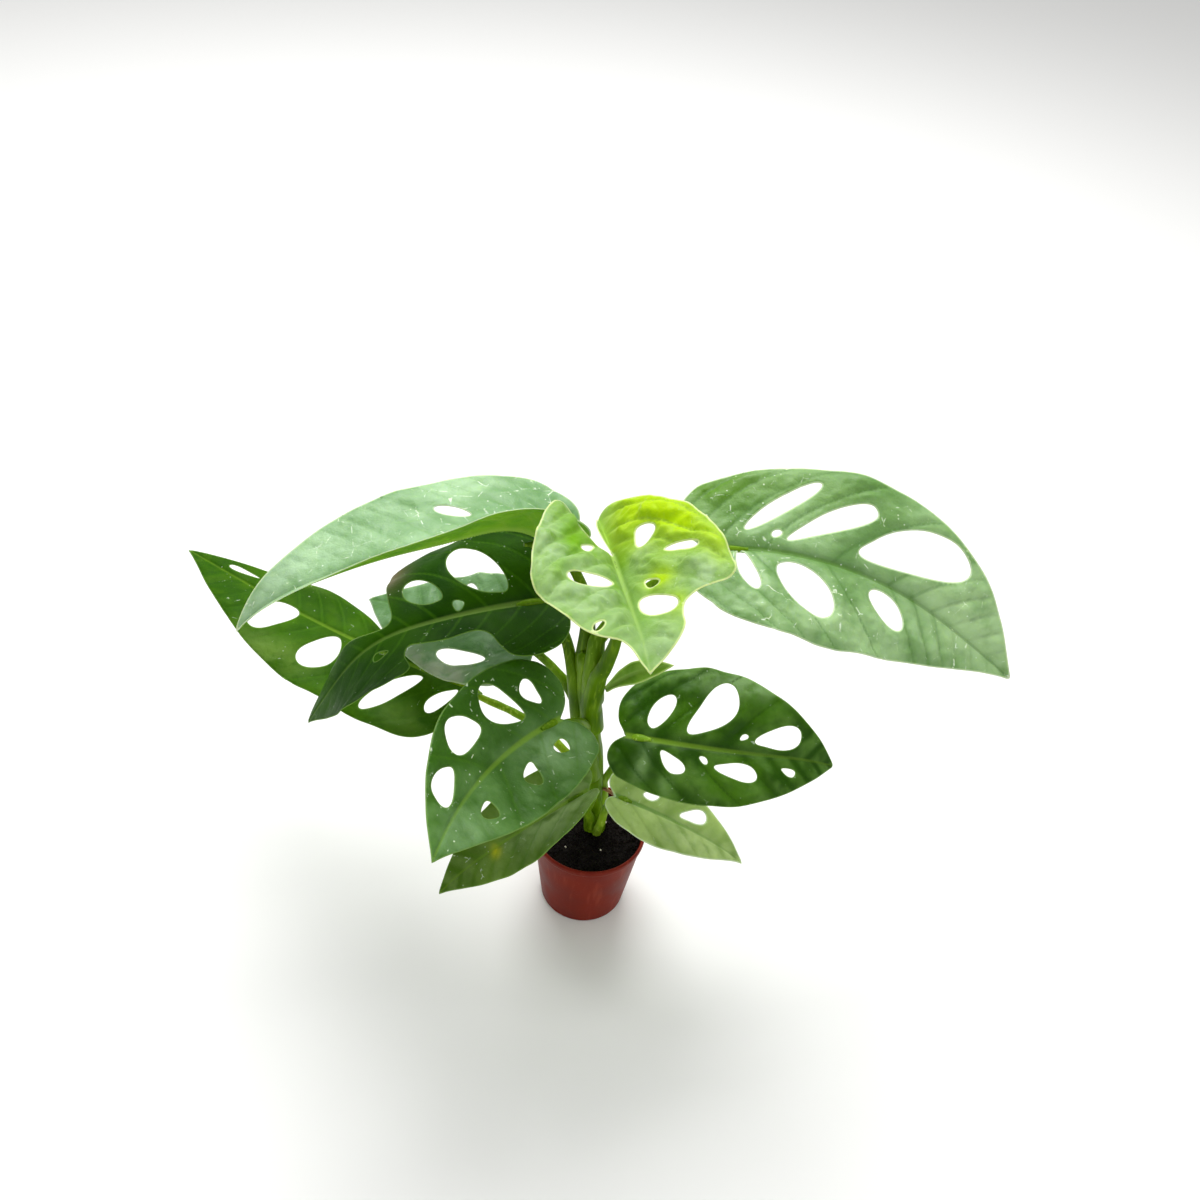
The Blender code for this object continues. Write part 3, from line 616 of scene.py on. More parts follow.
def add(tree, kind, *values, out=0, **settings):
    """Adds a node and gives one of its outputs. Values fill its sockets in order, a dictionary
    fills them by name, and a value that is itself a socket, or a list of them, is linked."""
    family = next(word for word in ("ShaderNode", "GeometryNode", "FunctionNode", "Node")
                  if hasattr(bpy.types, word + kind))
    node = tree.nodes.new(family + kind)
    for name, setting in settings.items():
        setattr(node, name, setting)
    for place, value in enumerate(values):
        for key, item in (value if isinstance(value, dict) else {place: value}).items():
            if isinstance(item, (bpy.types.NodeSocket, list)):
                for socket in item if isinstance(item, list) else [item]:
                    tree.links.new(socket, node.inputs[key])
            else:
                node.inputs[key].default_value = item
    return node.outputs[out] if len(node.outputs) else None


def product(tree, *parts):
    """Multiplies values. A row (value, from, to, low, high) is eased between ranges first."""
    total = None
    for part in parts:
        if isinstance(part, tuple):
            part = add(tree, "MapRange", *part, **SMOOTH)
        total = part if total is None else add(tree, "Math", total, part, **TIMES)
    return total


print("made the helpers add and product")

# %% Start and end of a geometry tree
def start_tree(name, inputs):
    """A Geometry Nodes tree with named inputs. Gives the tree and those inputs' sockets."""
    tree = bpy.data.node_groups.new(name, "GeometryNodeTree")
    tree.interface.new_socket("Geometry", in_out="INPUT", socket_type="NodeSocketGeometry")
    for label, value in inputs.items():
        kind = "NodeSocketInt" if isinstance(value, int) else "NodeSocketFloat"
        if isinstance(value, bpy.types.Material):
            kind = "NodeSocketMaterial"
        socket = tree.interface.new_socket(label, in_out="INPUT", socket_type=kind)
        socket.default_value = value
    tree.interface.new_socket("Geometry", in_out="OUTPUT", socket_type="NodeSocketGeometry")
    return tree, add(tree, "GroupInput").node.outputs


def end_tree(tree, geometry, material):
    """Every tree ends in real faces with their material set."""
    real = add(tree, "RealizeInstances", geometry)
    add(tree, "GroupOutput", add(tree, "SetMaterial", {"Geometry": real, "Material": material}))


print("made the helpers start_tree and end_tree")

# %% [markdown]
# ## The leaves: the node tree
# The tree bends the pattern over its midrib, adds slow ripples that grow towards the margin,
# sinks the midrib and veins and puffs up the panels between them, then gives the sheet its
# thickness: a flipped copy is extruded downwards, so the underside gets raised ribs and the
# margin gets a real edge. Joining the two and merging the seam closes the blade.

# %% Lay-the-blade tree
BLADE_SIZES = {"Thickness mm": 0.42, "Rib Height mm": 1.0, "Groove mm": 0.5, "Vein mm": 0.16,
               "Pucker mm": 0.45, "Ripple mm": 2.0, "Quilt mm": 0.3, "Seed": 3.0}
BLADE_VALUES = ("edge", "reach", "beside", "along", "across", "chord", "rise", "lift", "wave",
                "rib", "vein")
SEAM_GAP = 0.01 * MM


def blade_tree(material):
    """Geometry Nodes that turn a pattern with its attributes into a closed blade."""
    tree, sizes = start_tree("lay_the_blade", {**BLADE_SIZES, "Skin": material})
    at = {label: add(tree, "InputNamedAttribute", {"Name": label}, out="Attribute",
                     data_type=kind)
          for kind, labels in (("FLOAT", BLADE_VALUES),
                               ("FLOAT_VECTOR", ("side_way", "up_way", "spine")))
          for label in labels}
    deep_mm = {label: product(tree, sizes[label], MM) for label in BLADE_SIZES
               if label.endswith("mm")}

    place = add(tree, "CombineXYZ", at["along"], product(tree, at["across"], 0.01),
                sizes["Seed"])
    noises = {}
    for label, look in {"swell": {"Scale": 5.5, "Detail": 1.5}, "uneven": {"Scale": 9.0},
                        "quilt": {"Scale": 42.0, "Detail": 1.0, "Roughness": 0.4}}.items():
        noises[label] = add(tree, "TexNoise", {"Vector": place, **look})
    centred = {label: add(tree, "Math", noises[label], 0.5, **MINUS)
               for label in ("swell", "quilt")}
    swell = product(tree, centred["swell"], product(tree, at["reach"], at["reach"]),
                    product(tree, deep_mm["Ripple mm"], 4.0))
    out, up = (product(tree, at["chord"], add(tree, "Math", at["rise"], operation=word))
               for word in ("COSINE", "SINE"))
    up = add(tree, "Math", add(tree, "Math", up, at["lift"], **PLUS), swell, **PLUS)
    ways = [add(tree, "VectorMath", at[way], {"Scale": size}, **SCALE)
            for way, size in (("side_way", out), ("up_way", up))]
    bent = add(tree, "VectorMath", *ways, **PLUS)
    bent = add(tree, "VectorMath", bent, at["spine"], **PLUS)
    laid = add(tree, "SetPosition", {"Geometry": sizes["Geometry"], "Position": bent})

    inner = add(tree, "MapRange", at["edge"], 0.2, 3.5, **SMOOTH)
    panels = product(tree, (noises["uneven"], 0.3, 0.7, 0.2, 1.6), deep_mm["Pucker mm"])
    panels = product(tree, add(tree, "Math", at["wave"], 0.75, operation="POWER"), panels)
    quilt = product(tree, centred["quilt"], product(tree, deep_mm["Quilt mm"], 3.0))
    relief = product(tree, add(tree, "Math", panels, quilt, **PLUS), at["beside"], inner)
    groove = product(tree, at["rib"], deep_mm["Groove mm"])
    thread = product(tree, (at["vein"], 0.1, 1.1, 1.0, 0.0), deep_mm["Vein mm"], at["beside"],
                     inner)
    relief = add(tree, "Math", add(tree, "Math", relief, groove, **MINUS), thread, **MINUS)
    facing = add(tree, "InputNormal")
    top = add(tree, "SetPosition", {"Geometry": laid, "Offset": add(
        tree, "VectorMath", facing, {"Scale": relief}, **SCALE)})

    thick = product(tree, (at["edge"], 0.0, 1.6, 0.55, 1.0), deep_mm["Thickness mm"])
    deep = add(tree, "ExtrudeMesh", {"Mesh": add(tree, "FlipFaces", top),
                                     "Offset Scale": thick, "Individual": False})
    floor_side = deep.node.outputs["Top"]
    ridge = product(tree, at["rib"], deep_mm["Rib Height mm"],
                    (at["along"], -0.05, 1.0, 1.0, 0.15))
    ridge = add(tree, "Math", ridge, product(tree, thread, 1.6), **PLUS)
    under = add(tree, "SetPosition", {"Geometry": deep, "Selection": floor_side, "Offset": add(
        tree, "VectorMath", facing, {"Scale": ridge}, **SCALE)})
    under = add(tree, "StoreNamedAttribute", {
        "Geometry": under, "Selection": floor_side, "Name": "under", "Value": 1.0},
        data_type="FLOAT", domain="POINT")
    both = add(tree, "JoinGeometry", [top, under])
    closed = add(tree, "MergeByDistance", {"Geometry": both, "Distance": SEAM_GAP})
    end_tree(tree, add(tree, "SetShadeSmooth", closed), sizes["Skin"])
    return tree


print("away from its edges and ribs a blade is", BLADE_SIZES["Thickness mm"], "mm thick")

# %% [markdown]
# ## The leaves: waxy skin
# A monstera leaf is a thin wax-coated skin over water-filled green tissue. The wax is a smooth
# dielectric, so it mirrors the sky softly and makes deep green look sage from some sides. The
# tissue lets light through, which turns a blade yellow-green where the sun is behind it, so the
# shader has a little subsurface light. Light and shade are also painted into the colour: the
# lighter panels between the veins are partly a painted sheen, the pale patches are a painted
# sheen, the shade patches painted shade, and the glow patches a painted glow on the top leaf,
# painted shade on three others and a yellow spot and a brownish patch on two more. Pale dots and
# hairline marks are dried water and rub marks. The hairlines are about twice as wide as real
# ones, and the skin's fine grain is far coarser than real cells, so that both show. The margin is
# paler because it is thin, and the underside is matt and lighter.

# %% Coats of colour
def layered(tree, colour, *coats):
    """Lays coats over a colour. A coat is how much of it shows, and its hex or its socket."""
    for share, coat in [(None, colour), *coats]:
        coat = linear(coat) if isinstance(coat, str) else coat
        colour = coat if share is None else add(tree, "Mix", {0: share, 6: colour, 7: coat},
                                                out=2, data_type="RGBA")
    return colour


def finish_material(material, colour, roughness, height, strength, depth_mm):
    """Links the colour, the roughness and a bump to the shader."""
    tree = material.node_tree
    bump = add(tree, "Bump", {"Height": height, "Strength": strength, "Distance": depth_mm * MM})
    for label, value in {"Base Color": colour, "Roughness": roughness, "Normal": bump}.items():
        tree.links.new(value, tree.nodes["Principled BSDF"].inputs[label])
    return material


print("made the helpers layered and finish_material")

# %% Leaf skin material
LEAF_NOISES = {  # size in mm, detail and roughness
    "cloud": (26.0, 2, 0.5), "panel": (9.0, 2, 0.5), "dapple": (3.2, 3, 0.5),
    # the pale noise breaks up the painted sheen patches
    "painted_sheen": (8.0, 3, 0.5), "rub": (5.0, 3, 0.7), "wear": (30.0, 2, 0.5), "under": (12.0, 2, 0.5),
    "gloss": (6.0, 2, 0.5), "cell": (0.8, 2, 0.6), "lump": (4.0, 2, 0.5)}
SPOT_CELL_MM = 3.4
MARK_CELL_MM = 8.0
DRIED_WATER = "#DDEBD2"
UNDER_MATTER = 0.2
PLAIN_LOOKS = dict(panel=0.5, dapple=0.25, thread=0.35, scratches=0.60, margin=0.7,
                   margin_mm=0.7, rough=0.42, lumps=2.5, specular=0.5, glow_light=0.4)


def leaf_skin(name, looks):
    """Waxy leaf: looks gives its hex colours and how marked, glossy and see-through it is."""
    looks = {**PLAIN_LOOKS, **looks}
    skin, tree = start_material(
        name, IOR=1.45, Specular_IOR_Level=looks["specular"], Subsurface_Scale=0.9 * MM,
        Subsurface_Weight=looks["glow_light"], Subsurface_Radius=(0.9, 1.0, 0.25))
    spot = add(tree, "TexCoord", out="Object")
    at = {label: add(tree, "Attribute", out="Fac", attribute_name=label) for label in (
        "edge", "vein", "wave", "rib", "along", "under", *PATCH_KINDS)}
    noise = {label: add(tree, "TexNoise", {"Vector": spot, "Scale": 1 / (size * MM),
                                           "Detail": detail, "Roughness": rough})
             for label, (size, detail, rough) in LEAF_NOISES.items()}

    dots = add(tree, "TexVoronoi", {"Vector": spot, "Scale": 1 / (SPOT_CELL_MM * MM)})
    chosen = add(tree, "SeparateColor", dots.node.outputs["Color"])
    dot = product(tree, (dots, 0.05, 0.13, 1.0, 0.0), (chosen, 0.62, 0.66))
    lines = add(tree, "TexVoronoi", {"Vector": spot, "Scale": 1 / (MARK_CELL_MM * MM)},
                feature="DISTANCE_TO_EDGE")
    mark = product(tree, (lines, 0.012, 0.03, 1.0, 0.0),
                   (noise["rub"], looks["scratches"], 0.66))
    mark = add(tree, "Math", dot, mark, operation="MAXIMUM")
    worn = product(tree, (noise["wear"], 0.35, 0.6), looks["marks"])
    thread = product(tree, (at["vein"], 0.15, 0.9, 1.0, 0.0),
                     (at["along"], 0.5, 0.85, looks["thread"], 0.1))

    top = layered(
        tree, looks["deep"], (product(tree, (noise["cloud"], 0.38, 0.62)), looks["top"]),
        # lighter panels between the veins: partly the leaf's own tone, partly a painted sheen on
        # the puffed panels
        (product(tree, (at["wave"], 0.15, 0.95), (noise["panel"], 0.3, 0.7), looks["panel"]),
         looks["light"]),
        (product(tree, (noise["dapple"], 0.45, 0.7), looks["dapple"]), looks["deep"]),
        # pale patches: a painted sheen of the sky on the wax
        (product(tree, at["painted_sheen"], (noise["painted_sheen"], 0.25, 0.6)), looks["painted_sheen"]),
        # shade patches: painted shade; glow patches: painted glow on the top leaf, painted shade
        # on three others, a yellow spot and a brownish patch on two more
        (at["shade"], looks["shade"]), (at["painted_light_and_spots"], looks["painted_light_and_spots"]), (thread, looks["vein"]),
        (product(tree, (at["rib"], 0.35, 0.9), (at["along"], -0.05, 0.8, 1.0, 0.35), 0.8),
         looks["rib"]),
        (product(tree, mark, worn), DRIED_WATER))
    ribs = add(tree, "Math", product(tree, (at["rib"], 0.2, 0.8)), thread, operation="MAXIMUM")
    below = layered(
        tree, looks["under"], (product(tree, (noise["under"], 0.3, 0.7)), looks["under_light"]),
        (product(tree, ribs, 0.5), looks["under_rib"]))
    colour = layered(
        tree, top, (product(tree, (at["under"], 0.3, 0.7)), below),
        (product(tree, (at["edge"], 0.25, looks["margin_mm"], 1.0, 0.0), looks["margin"]),
         looks["rim"]))
    gloss = product(tree, (noise["gloss"], 0.3, 0.7, looks["rough"] - 0.06,
                           looks["rough"] + 0.08))
    gloss = add(tree, "Math", gloss, product(tree, at["under"], UNDER_MATTER), **PLUS)
    lumps = add(tree, "Math", noise["cell"], product(tree, noise["lump"], looks["lumps"]),
                **PLUS)
    return finish_material(skin, colour, gloss, lumps, 0.35, 0.4)


print("a leaf skin mixes", len(LEAF_NOISES), "noise patterns")

# %% [markdown]
# ## The leaves: each one's colours
# Leaves change as they age, and here part of each one's colour is painted light. The newest one
# at the crown is lime and soft, with a painted glow where light shines through it; the ones on
# top are sage, partly a painted sheen of the sky on their wax; and the ones inside are deep
# green, partly painted shade under the leaves above.

# %% Leaf colours
# sage family: greens partly a painted sheen; its glow and shade colours are painted shade
SAGE_WITH_PAINTED_SHEEN = dict(deep="#6C9A5C", top="#98BE8A", light="#B4D2AC", vein="#6E9C58", rib="#5C8C34",
            rim="#D2E4C0", under="#5A9800", under_light="#76AC08", under_rib="#96BC48",
            painted_sheen="#BFDCB8", painted_light_and_spots="#5E8C30", shade="#4E7C2C", marks=0.9)
# deep family: its dark greens are partly painted shade under the leaves above
DEEP_WITH_PAINTED_SHADE = dict(deep="#2C5A00", top="#40700A", light="#5C8830", vein="#4A7A10", rib="#7EA42C",
            rim="#7CA050", under="#4C7C04", under_light="#628F12", under_rib="#92B44A",
            painted_sheen="#8CAE68", painted_light_and_spots="#305E00", shade="#204400", marks=0.5, specular=0.12,
            margin=0.45, margin_mm=0.5)
# lime family: its glow colour is a painted glow where light shines through the top leaf
LIME = dict(deep="#6E9838", top="#86AC56", light="#98BA74", vein="#7CA444", rib="#9CBE60",
            rim="#D2E2A0", under="#86AC08", under_light="#9CC014", under_rib="#C0D850",
            painted_sheen="#A0BC88", painted_light_and_spots="#AACC00", shade="#6CA010", marks=0.2, margin=0.9,
            margin_mm=0.8, glow_light=0.6, specular=0.12)
# greens per blade follow how lit it is: darkest ones partly painted shade, sage ones painted sheen
LEAF_LOOKS = {
    # the upper right leaf's dark midrib colour is painted shade in its sunken groove
    "upper_right": {**SAGE_WITH_PAINTED_SHEEN, "deep": "#648E4A", "top": "#8AAE72", "light": "#A4C490",
                    "rib": "#4E7C18", "painted_sheen": "#AECC96", "painted_light_and_spots": "#568416", "specular": 0.3,
                    "vein": "#4E7C34", "thread": 0.5, "scratches": 0.54},
    "right": {**DEEP_WITH_PAINTED_SHADE, "deep": "#264E00", "top": "#44700A", "light": "#648C38",
              "painted_sheen": "#8EAE74", "vein": "#264E00", "thread": 0.55, "panel": 0.7},
    "lower_right": {**SAGE_WITH_PAINTED_SHEEN, "deep": "#7C9A4A", "top": "#AAC470", "light": "#BED48C",
                    "vein": "#84A250", "marks": 0.3, "painted_sheen": "#B8CE88", "specular": 0.3},
    "front": {**DEEP_WITH_PAINTED_SHADE, "deep": "#34600C", "top": "#527C34", "light": "#6C9454",
              "painted_sheen": "#88AA78", "painted_light_and_spots": "#2E5A02", "marks": 0.8, "specular": 0.2,
              "scratches": 0.57},
    "lower_front": {**DEEP_WITH_PAINTED_SHADE, "deep": "#426408", "top": "#5E7E24", "light": "#76924A",
                    "painted_sheen": "#94AE70", "painted_light_and_spots": "#B2B620"},
    "far_left": {**DEEP_WITH_PAINTED_SHADE, "deep": "#2C5800", "top": "#3C6800", "light": "#4C7608",
                 "painted_sheen": "#6E8E3C", "painted_light_and_spots": "#264C00", "rough": 0.55, "specular": 0.06},
    "centre_left": {**DEEP_WITH_PAINTED_SHADE, "deep": "#1A4000", "top": "#285000", "light": "#386010",
                    "rough": 0.45, "painted_light_and_spots": "#6A6044", "rib": "#7E9C48", "panel": 0.2,
                    "specular": 0.05, "dapple": 0.08, "lumps": 0.5},
    "back_left": {**SAGE_WITH_PAINTED_SHEEN, "deep": "#4A7838", "top": "#6E9660", "light": "#84AA7A",
                  "under": "#98A88A", "under_light": "#B2BEA4", "under_rib": "#C8D0BA",
                  "painted_sheen": "#A4AE96", "margin": 0.35},
    "upper_left": {**SAGE_WITH_PAINTED_SHEEN, "marks": 1.0, "panel": 0.2, "scratches": 0.5, "specular": 0.4},
    "top": LIME,
}
print(len(LEAF_LOOKS), "leaf skins in three families: sage, deep and lime")

# %% [markdown]
# ## The leaves: growing the pieces
# A piece starts as a small mesh, such as a blade's flat pattern. A modifier runs the node tree
# on it with the piece's own sizes, and the result is kept as a plain mesh. It then takes the
# place of the CAD node it stands for, which is hidden.

# %% Grow a piece
def add_piece(name, mesh, node_name):
    """Puts a finished mesh in the scene under the root body and hides the CAD node it stands for.
    """
    piece = bpy.data.objects.new(name, mesh)
    bpy.context.scene.collection.objects.link(piece)
    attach(piece, "root")
    if node_name:
        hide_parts(node_name)
    print(f"{name}: {len(mesh.polygons)} faces")
    return piece


def grow(name, start_data, tree, node_name, slot, **inputs):
    """Runs a tree on some start data and keeps the result as a plain mesh piece."""
    seed = bpy.data.objects.new(name + "_start", start_data)
    bpy.context.scene.collection.objects.link(seed)
    modifier = seed.modifiers.new("grow", "NODES")
    modifier.node_group = tree
    wanted = {label.replace("_", " "): value for label, value in inputs.items()}
    for item in tree.interface.items_tree:
        if item.in_out == "INPUT" and item.name in wanted:
            modifier[item.identifier] = wanted[item.name]
    ready = bpy.context.evaluated_depsgraph_get()
    mesh = bpy.data.meshes.new_from_object(seed.evaluated_get(ready), depsgraph=ready)
    mesh.name = name
    bpy.data.objects.remove(seed, do_unlink=True)
    return add_piece(name, mesh, node_name)


print("made the helpers add_piece and grow; blades to grow:", len(LEAVES))

# %% The ten blades
SMALL_LEAF = dict(Ripple_mm=0.8, Rib_Height_mm=0.6)
LEAF_SIZES = {
    "top": dict(Pucker_mm=1.7, Ripple_mm=2.4, Groove_mm=0.5, Quilt_mm=0.6, Vein_mm=0.3),
    "upper_left": dict(Pucker_mm=0.14),
    "upper_right": dict(Pucker_mm=0.9, Quilt_mm=0.45, Vein_mm=0.26, Groove_mm=0.8),
    "centre_left": dict(Pucker_mm=0.12, Vein_mm=0.06, Quilt_mm=0.06),
    "right": dict(Pucker_mm=1.0, Vein_mm=0.3),
    "lower_right": dict(Pucker_mm=0.35, **SMALL_LEAF),
    "lower_front": dict(Pucker_mm=0.3, **SMALL_LEAF),
}
FIRST_SEED = 20
TERMINATOR_OFFSETS = (0.3, 0.05)  # keep the facets from showing where light grazes a blade

laying = blade_tree(bpy.data.materials.new("leaf_blank"))
for number, (leaf_name, leaf) in enumerate(LEAVES.items()):
    blade = grow(
        "blade_" + leaf_name, pattern_mesh(leaf_name, leaf, FIRST_SEED + number), laying,
        "leaf_" + leaf_name, f"leaf_{leaf_name}_blade",
        **LEAF_SIZES.get(leaf_name, {}), Seed=3.0 + 1.7 * number,
        Skin=leaf_skin("waxy_leaf_" + leaf_name, LEAF_LOOKS[leaf_name]))
    (blade.shadow_terminator_geometry_offset,
     blade.shadow_terminator_shading_offset) = TERMINATOR_OFFSETS

# %% [markdown]
# ## The sheath leaf
# A climbing aroid wraps each new leaf in a slim papery sheath that opens like a trough and stays
# behind on the stem. It is a blade too, only narrow and strongly folded, so it uses the same
# pattern and the same tree with less relief.

# %% Sheath leaf
SHEATH_MARGIN = [(0, 0), (0.02, 0.2), (0.15, 0.4), (0.35, 0.8), (0.55, 1.0), (0.8, 0.65), (1, 0)]
SHEATH = dict(
    base=(-0.4, -2, 92), heading=-12, pitch=60, roll=55, length=38, left=4.6, right=4.6, droop=4,
    hook=6, sway=-30, twist=0, fold_left=(32, 14), fold_right=(32, 14), curl=(0, 0), holes=[],
    margin_left=SHEATH_MARGIN, margin_right=SHEATH_MARGIN)
sheath_skin = leaf_skin("papery_sheath", {
    **LIME, "deep": "#5E8A1C", "top": "#7CA434", "light": "#94B850", "rim": "#B4CC7C",
    "under": "#7FA944", "under_light": "#9ABF60", "marks": 0.1})
grow("sheath_on_stem", pattern_mesh("sheath", SHEATH, 77), laying, "sheath_leaf",
     "sheath_leaf_blade", Seed=9.0, Skin=sheath_skin, Pucker_mm=0.1, Ripple_mm=0.5,
     Rib_Height_mm=0.3, Groove_mm=0.2, Quilt_mm=0.1)

# %% [markdown]
# ## Stem and leaf stalks
# The stem of a young plant is hidden in the clasping feet of its leaf stalks. Each stalk starts
# low on the stem as a raised band, frees itself, bends out and up, and ends under its blade.
# All are tubes on a bent line, so one node tree turns a line with a stored girth into a stalk:
# a circle with a shallow channel is swept along it, and lengthwise ridges are added. The lines
# are the CAD part's, except that one stalk aims for a slightly different point.

# %% Stem line
STEM_FOOT = (2.5, 3.0)
STEM_TOP = (-9.0, 1.0, 108.0)
STEM_GIRTH = (5.2, 4.2)


def stem_at(height):
    """Middle of the stem in mm at a height above the soil, and its radius there."""
    share = min(max(height / STEM_TOP[2], 0.0), 1.0)
    ease = share * share * (3 - 2 * share) * 0.4 + share * 0.6
    foot, top = Vector((*STEM_FOOT, 0)), Vector((STEM_TOP[0], STEM_TOP[1], 0))
    middle = foot.lerp(top, ease) + Vector((0, 0, SOIL_LEVEL + height))
    return middle, STEM_GIRTH[0] + (STEM_GIRTH[1] - STEM_GIRTH[0]) * share


def beside_stem(height, compass, away):
    """A point beside the stem, away mm outside its skin, and the outward direction."""
    axis = (stem_at(height + 0.5)[0] - stem_at(height - 0.5)[0]).normalized()
    out = Vector((math.cos(math.radians(compass)), math.sin(math.radians(compass)), 0))
    out = (out - axis * out.dot(axis)).normalized()
    middle, radius = stem_at(height)
    return middle + out * (radius + away), out


def bezier(points, share):
    """A point at a share of the way along a smooth path that the points pull towards them."""
    row = [Vector(p) for p in points]
    while len(row) > 1:
        row = [a.lerp(b, share) for a, b in zip(row, row[1:])]
    return row[0]


def line_mesh(name, line, girth):
    """An open line as a mesh, in metres, with the girth stored on its points."""
    mesh = bpy.data.meshes.new(name)
    mesh.from_pydata((line * MM).tolist(), [(i, i + 1) for i in range(len(line) - 1)], [])
    mesh.attributes.new("girth", "FLOAT", "POINT").data.foreach_set(
        "value", (np.asarray(girth) * MM).astype(np.float32))
    return mesh


print("stem is", STEM_TOP[2], "mm tall;", len(LEAVES), "stalks leave it")

# %% Stalk lines
STALK_GIRTH = 2.0
HUGGING_FROM = 60.0  # a stalk that starts above this height hugs the stem and clasps it well
LOW_FROM = 30.0  # one that starts below this has next to no clasping foot
BAND_DROP, BAND_STEPS, BAND_RISE = 30, 6, 4.5  # the raised band below the stalk's start
UNDER_BLADE = 1.13
STALK_STEP = 1.2


def stalk_line(leaf):
    """The stalk's line: up the stem's skin, free of it, and under the blade."""
    height, compass = leaf["start"]
    up = Vector((0, 0, 1))  # the steps below are in mm, as in the CAD part
    free = min(height, STEM_TOP[2])
    row = [beside_stem(free - BAND_DROP + BAND_RISE * i, compass, -2.4 + 0.42 * i)[0]
           for i in range(BAND_STEPS)]
    row = [p for p in row if p.z > SOIL_LEVEL - 3]
    start, out = beside_stem(free, compass, 0.3)
    if height > STEM_TOP[2]:
        start = stem_at(STEM_TOP[2])[0] + out * (STALK_GIRTH + 0.3) + up * 0.6
        path = [start, start + up * 4, start + up * 12 + out * 2]
    elif height > HUGGING_FROM:
        path = [start, start + out * 1.5 + up * 6, start + out * 3 + up * 14]
    else:
        path = [start, start + out * 6.5, start + out * 5 + up * 9]
    (tip, beyond), frame_here = (a[:2] for a in on_midrib(leaf, np.array([0.03, 0.12])))
    forward, normal = Vector(frame_here[0][:, 0]), Vector(frame_here[0][:, 2])
    end = Vector(tip) - normal * UNDER_BLADE
    path += [Vector(leaf["lift"]) + up * SOIL_LEVEL, end - normal * 7 - forward * 6,
             end - normal * 4, end]
    row += [bezier(path, i / 16) for i in range(3, 16)]
    row += [end + forward * 1.5 + normal * 0.2,
            Vector(beyond) - Vector(frame_here[1][:, 2]) * 0.5]
    return even_steps(rounded_line([tuple(p) for p in row], 6), STALK_STEP)


print("the front leaf's stalk line has", len(stalk_line(LEAVES["front"])), "points")

# %% Stalk tree
def stalk_tree(material):
    """Geometry Nodes that sweep a channelled round section along a line with a girth."""
    tree, sizes = start_tree("sweep_a_stalk", {
        "Sides": 24, "Channel": 0.22, "Ridges": 0.05, "Grain": 140.0, "Seed": 1.0,
        "Skin": material})
    line = add(tree, "MeshToCurve", sizes["Geometry"])
    line = add(tree, "SetCurveNormal", line, mode="MINIMUM_TWIST")
    girth = add(tree, "InputNamedAttribute", {"Name": "girth"}, out="Attribute",
                data_type="FLOAT")
    ring = add(tree, "CurvePrimitiveCircle", {"Resolution": sizes["Sides"], "Radius": 1.0})
    spot = add(tree, "InputPosition")
    dip = product(tree, (add(tree, "SeparateXYZ", spot), 0.55, 1.0), sizes["Channel"])
    ring = add(tree, "SetPosition", {"Geometry": ring, "Position": add(
        tree, "VectorMath", spot, {"Scale": add(tree, "Math", 1.0, dip, **MINUS)}, **SCALE)})
    tube = add(tree, "CurveToMesh", {
        "Curve": line, "Profile Curve": ring, "Scale": girth, "Fill Caps": True})
    drawn = add(tree, "VectorMath", spot, (1.0, 1.0, 0.12), **TIMES)
    grain = add(tree, "TexNoise", {"Vector": drawn, "W": sizes["Seed"], "Scale": sizes["Grain"],
                                   "Detail": 2.0}, noise_dimensions="4D")
    grain = product(tree, add(tree, "Math", grain, 0.5, **MINUS), sizes["Ridges"], 0.02)
    tube = add(tree, "SetPosition", {"Geometry": tube, "Offset": add(
        tree, "VectorMath", add(tree, "InputNormal"), {"Scale": grain}, **SCALE)})
    end_tree(tree, add(tree, "SetShadeSmooth", tube), sizes["Skin"])
    return tree


sweeping = stalk_tree(bpy.data.materials.new("stalk_blank"))
print("stalk tree has", len(sweeping.nodes), "nodes")

# %% [markdown]
# ## Stalk skin
# Young stem and stalk skin is smooth, slightly waxy and a little see-through, with fine streaks
# that run lengthwise and pale dots. It is paler and yellower where it was wrapped up.

# %% Stalk material
STALK_COLOURS = {  # deep, light and streak
    "upper_right": ("#4A6E02", "#688E0C", "#8AAC38"), "right": ("#6A9414", "#8FB42E", "#B4D060"),
    "lower_right": ("#587E0C", "#7C9E1E", "#A0BE4C"), "front": ("#466A00", "#648808", "#86A62C"),
    "lower_front": ("#466A00", "#668A0C", "#88A830"),
    "far_left": ("#6A900C", "#8CAC1E", "#B0CC4C"),
    "centre_left": ("#426400", "#5E8206", "#7E9E28"),
    "back_left": ("#4A6E02", "#688E0C", "#8AAC38"),
    "upper_left": ("#446600", "#628604", "#84A428"), "top": ("#446800", "#628A04", "#84A626"),
}
STREAKS = 900.0  # per metre: streaks about half a millimetre wide
STREAK_STRETCH = 0.07  # they run about fourteen times longer than wide
CLOUDS = 55.0  # one light or dark cloud every 18 mm
DOTS = 420.0  # room for one pale dot every 2.4 mm


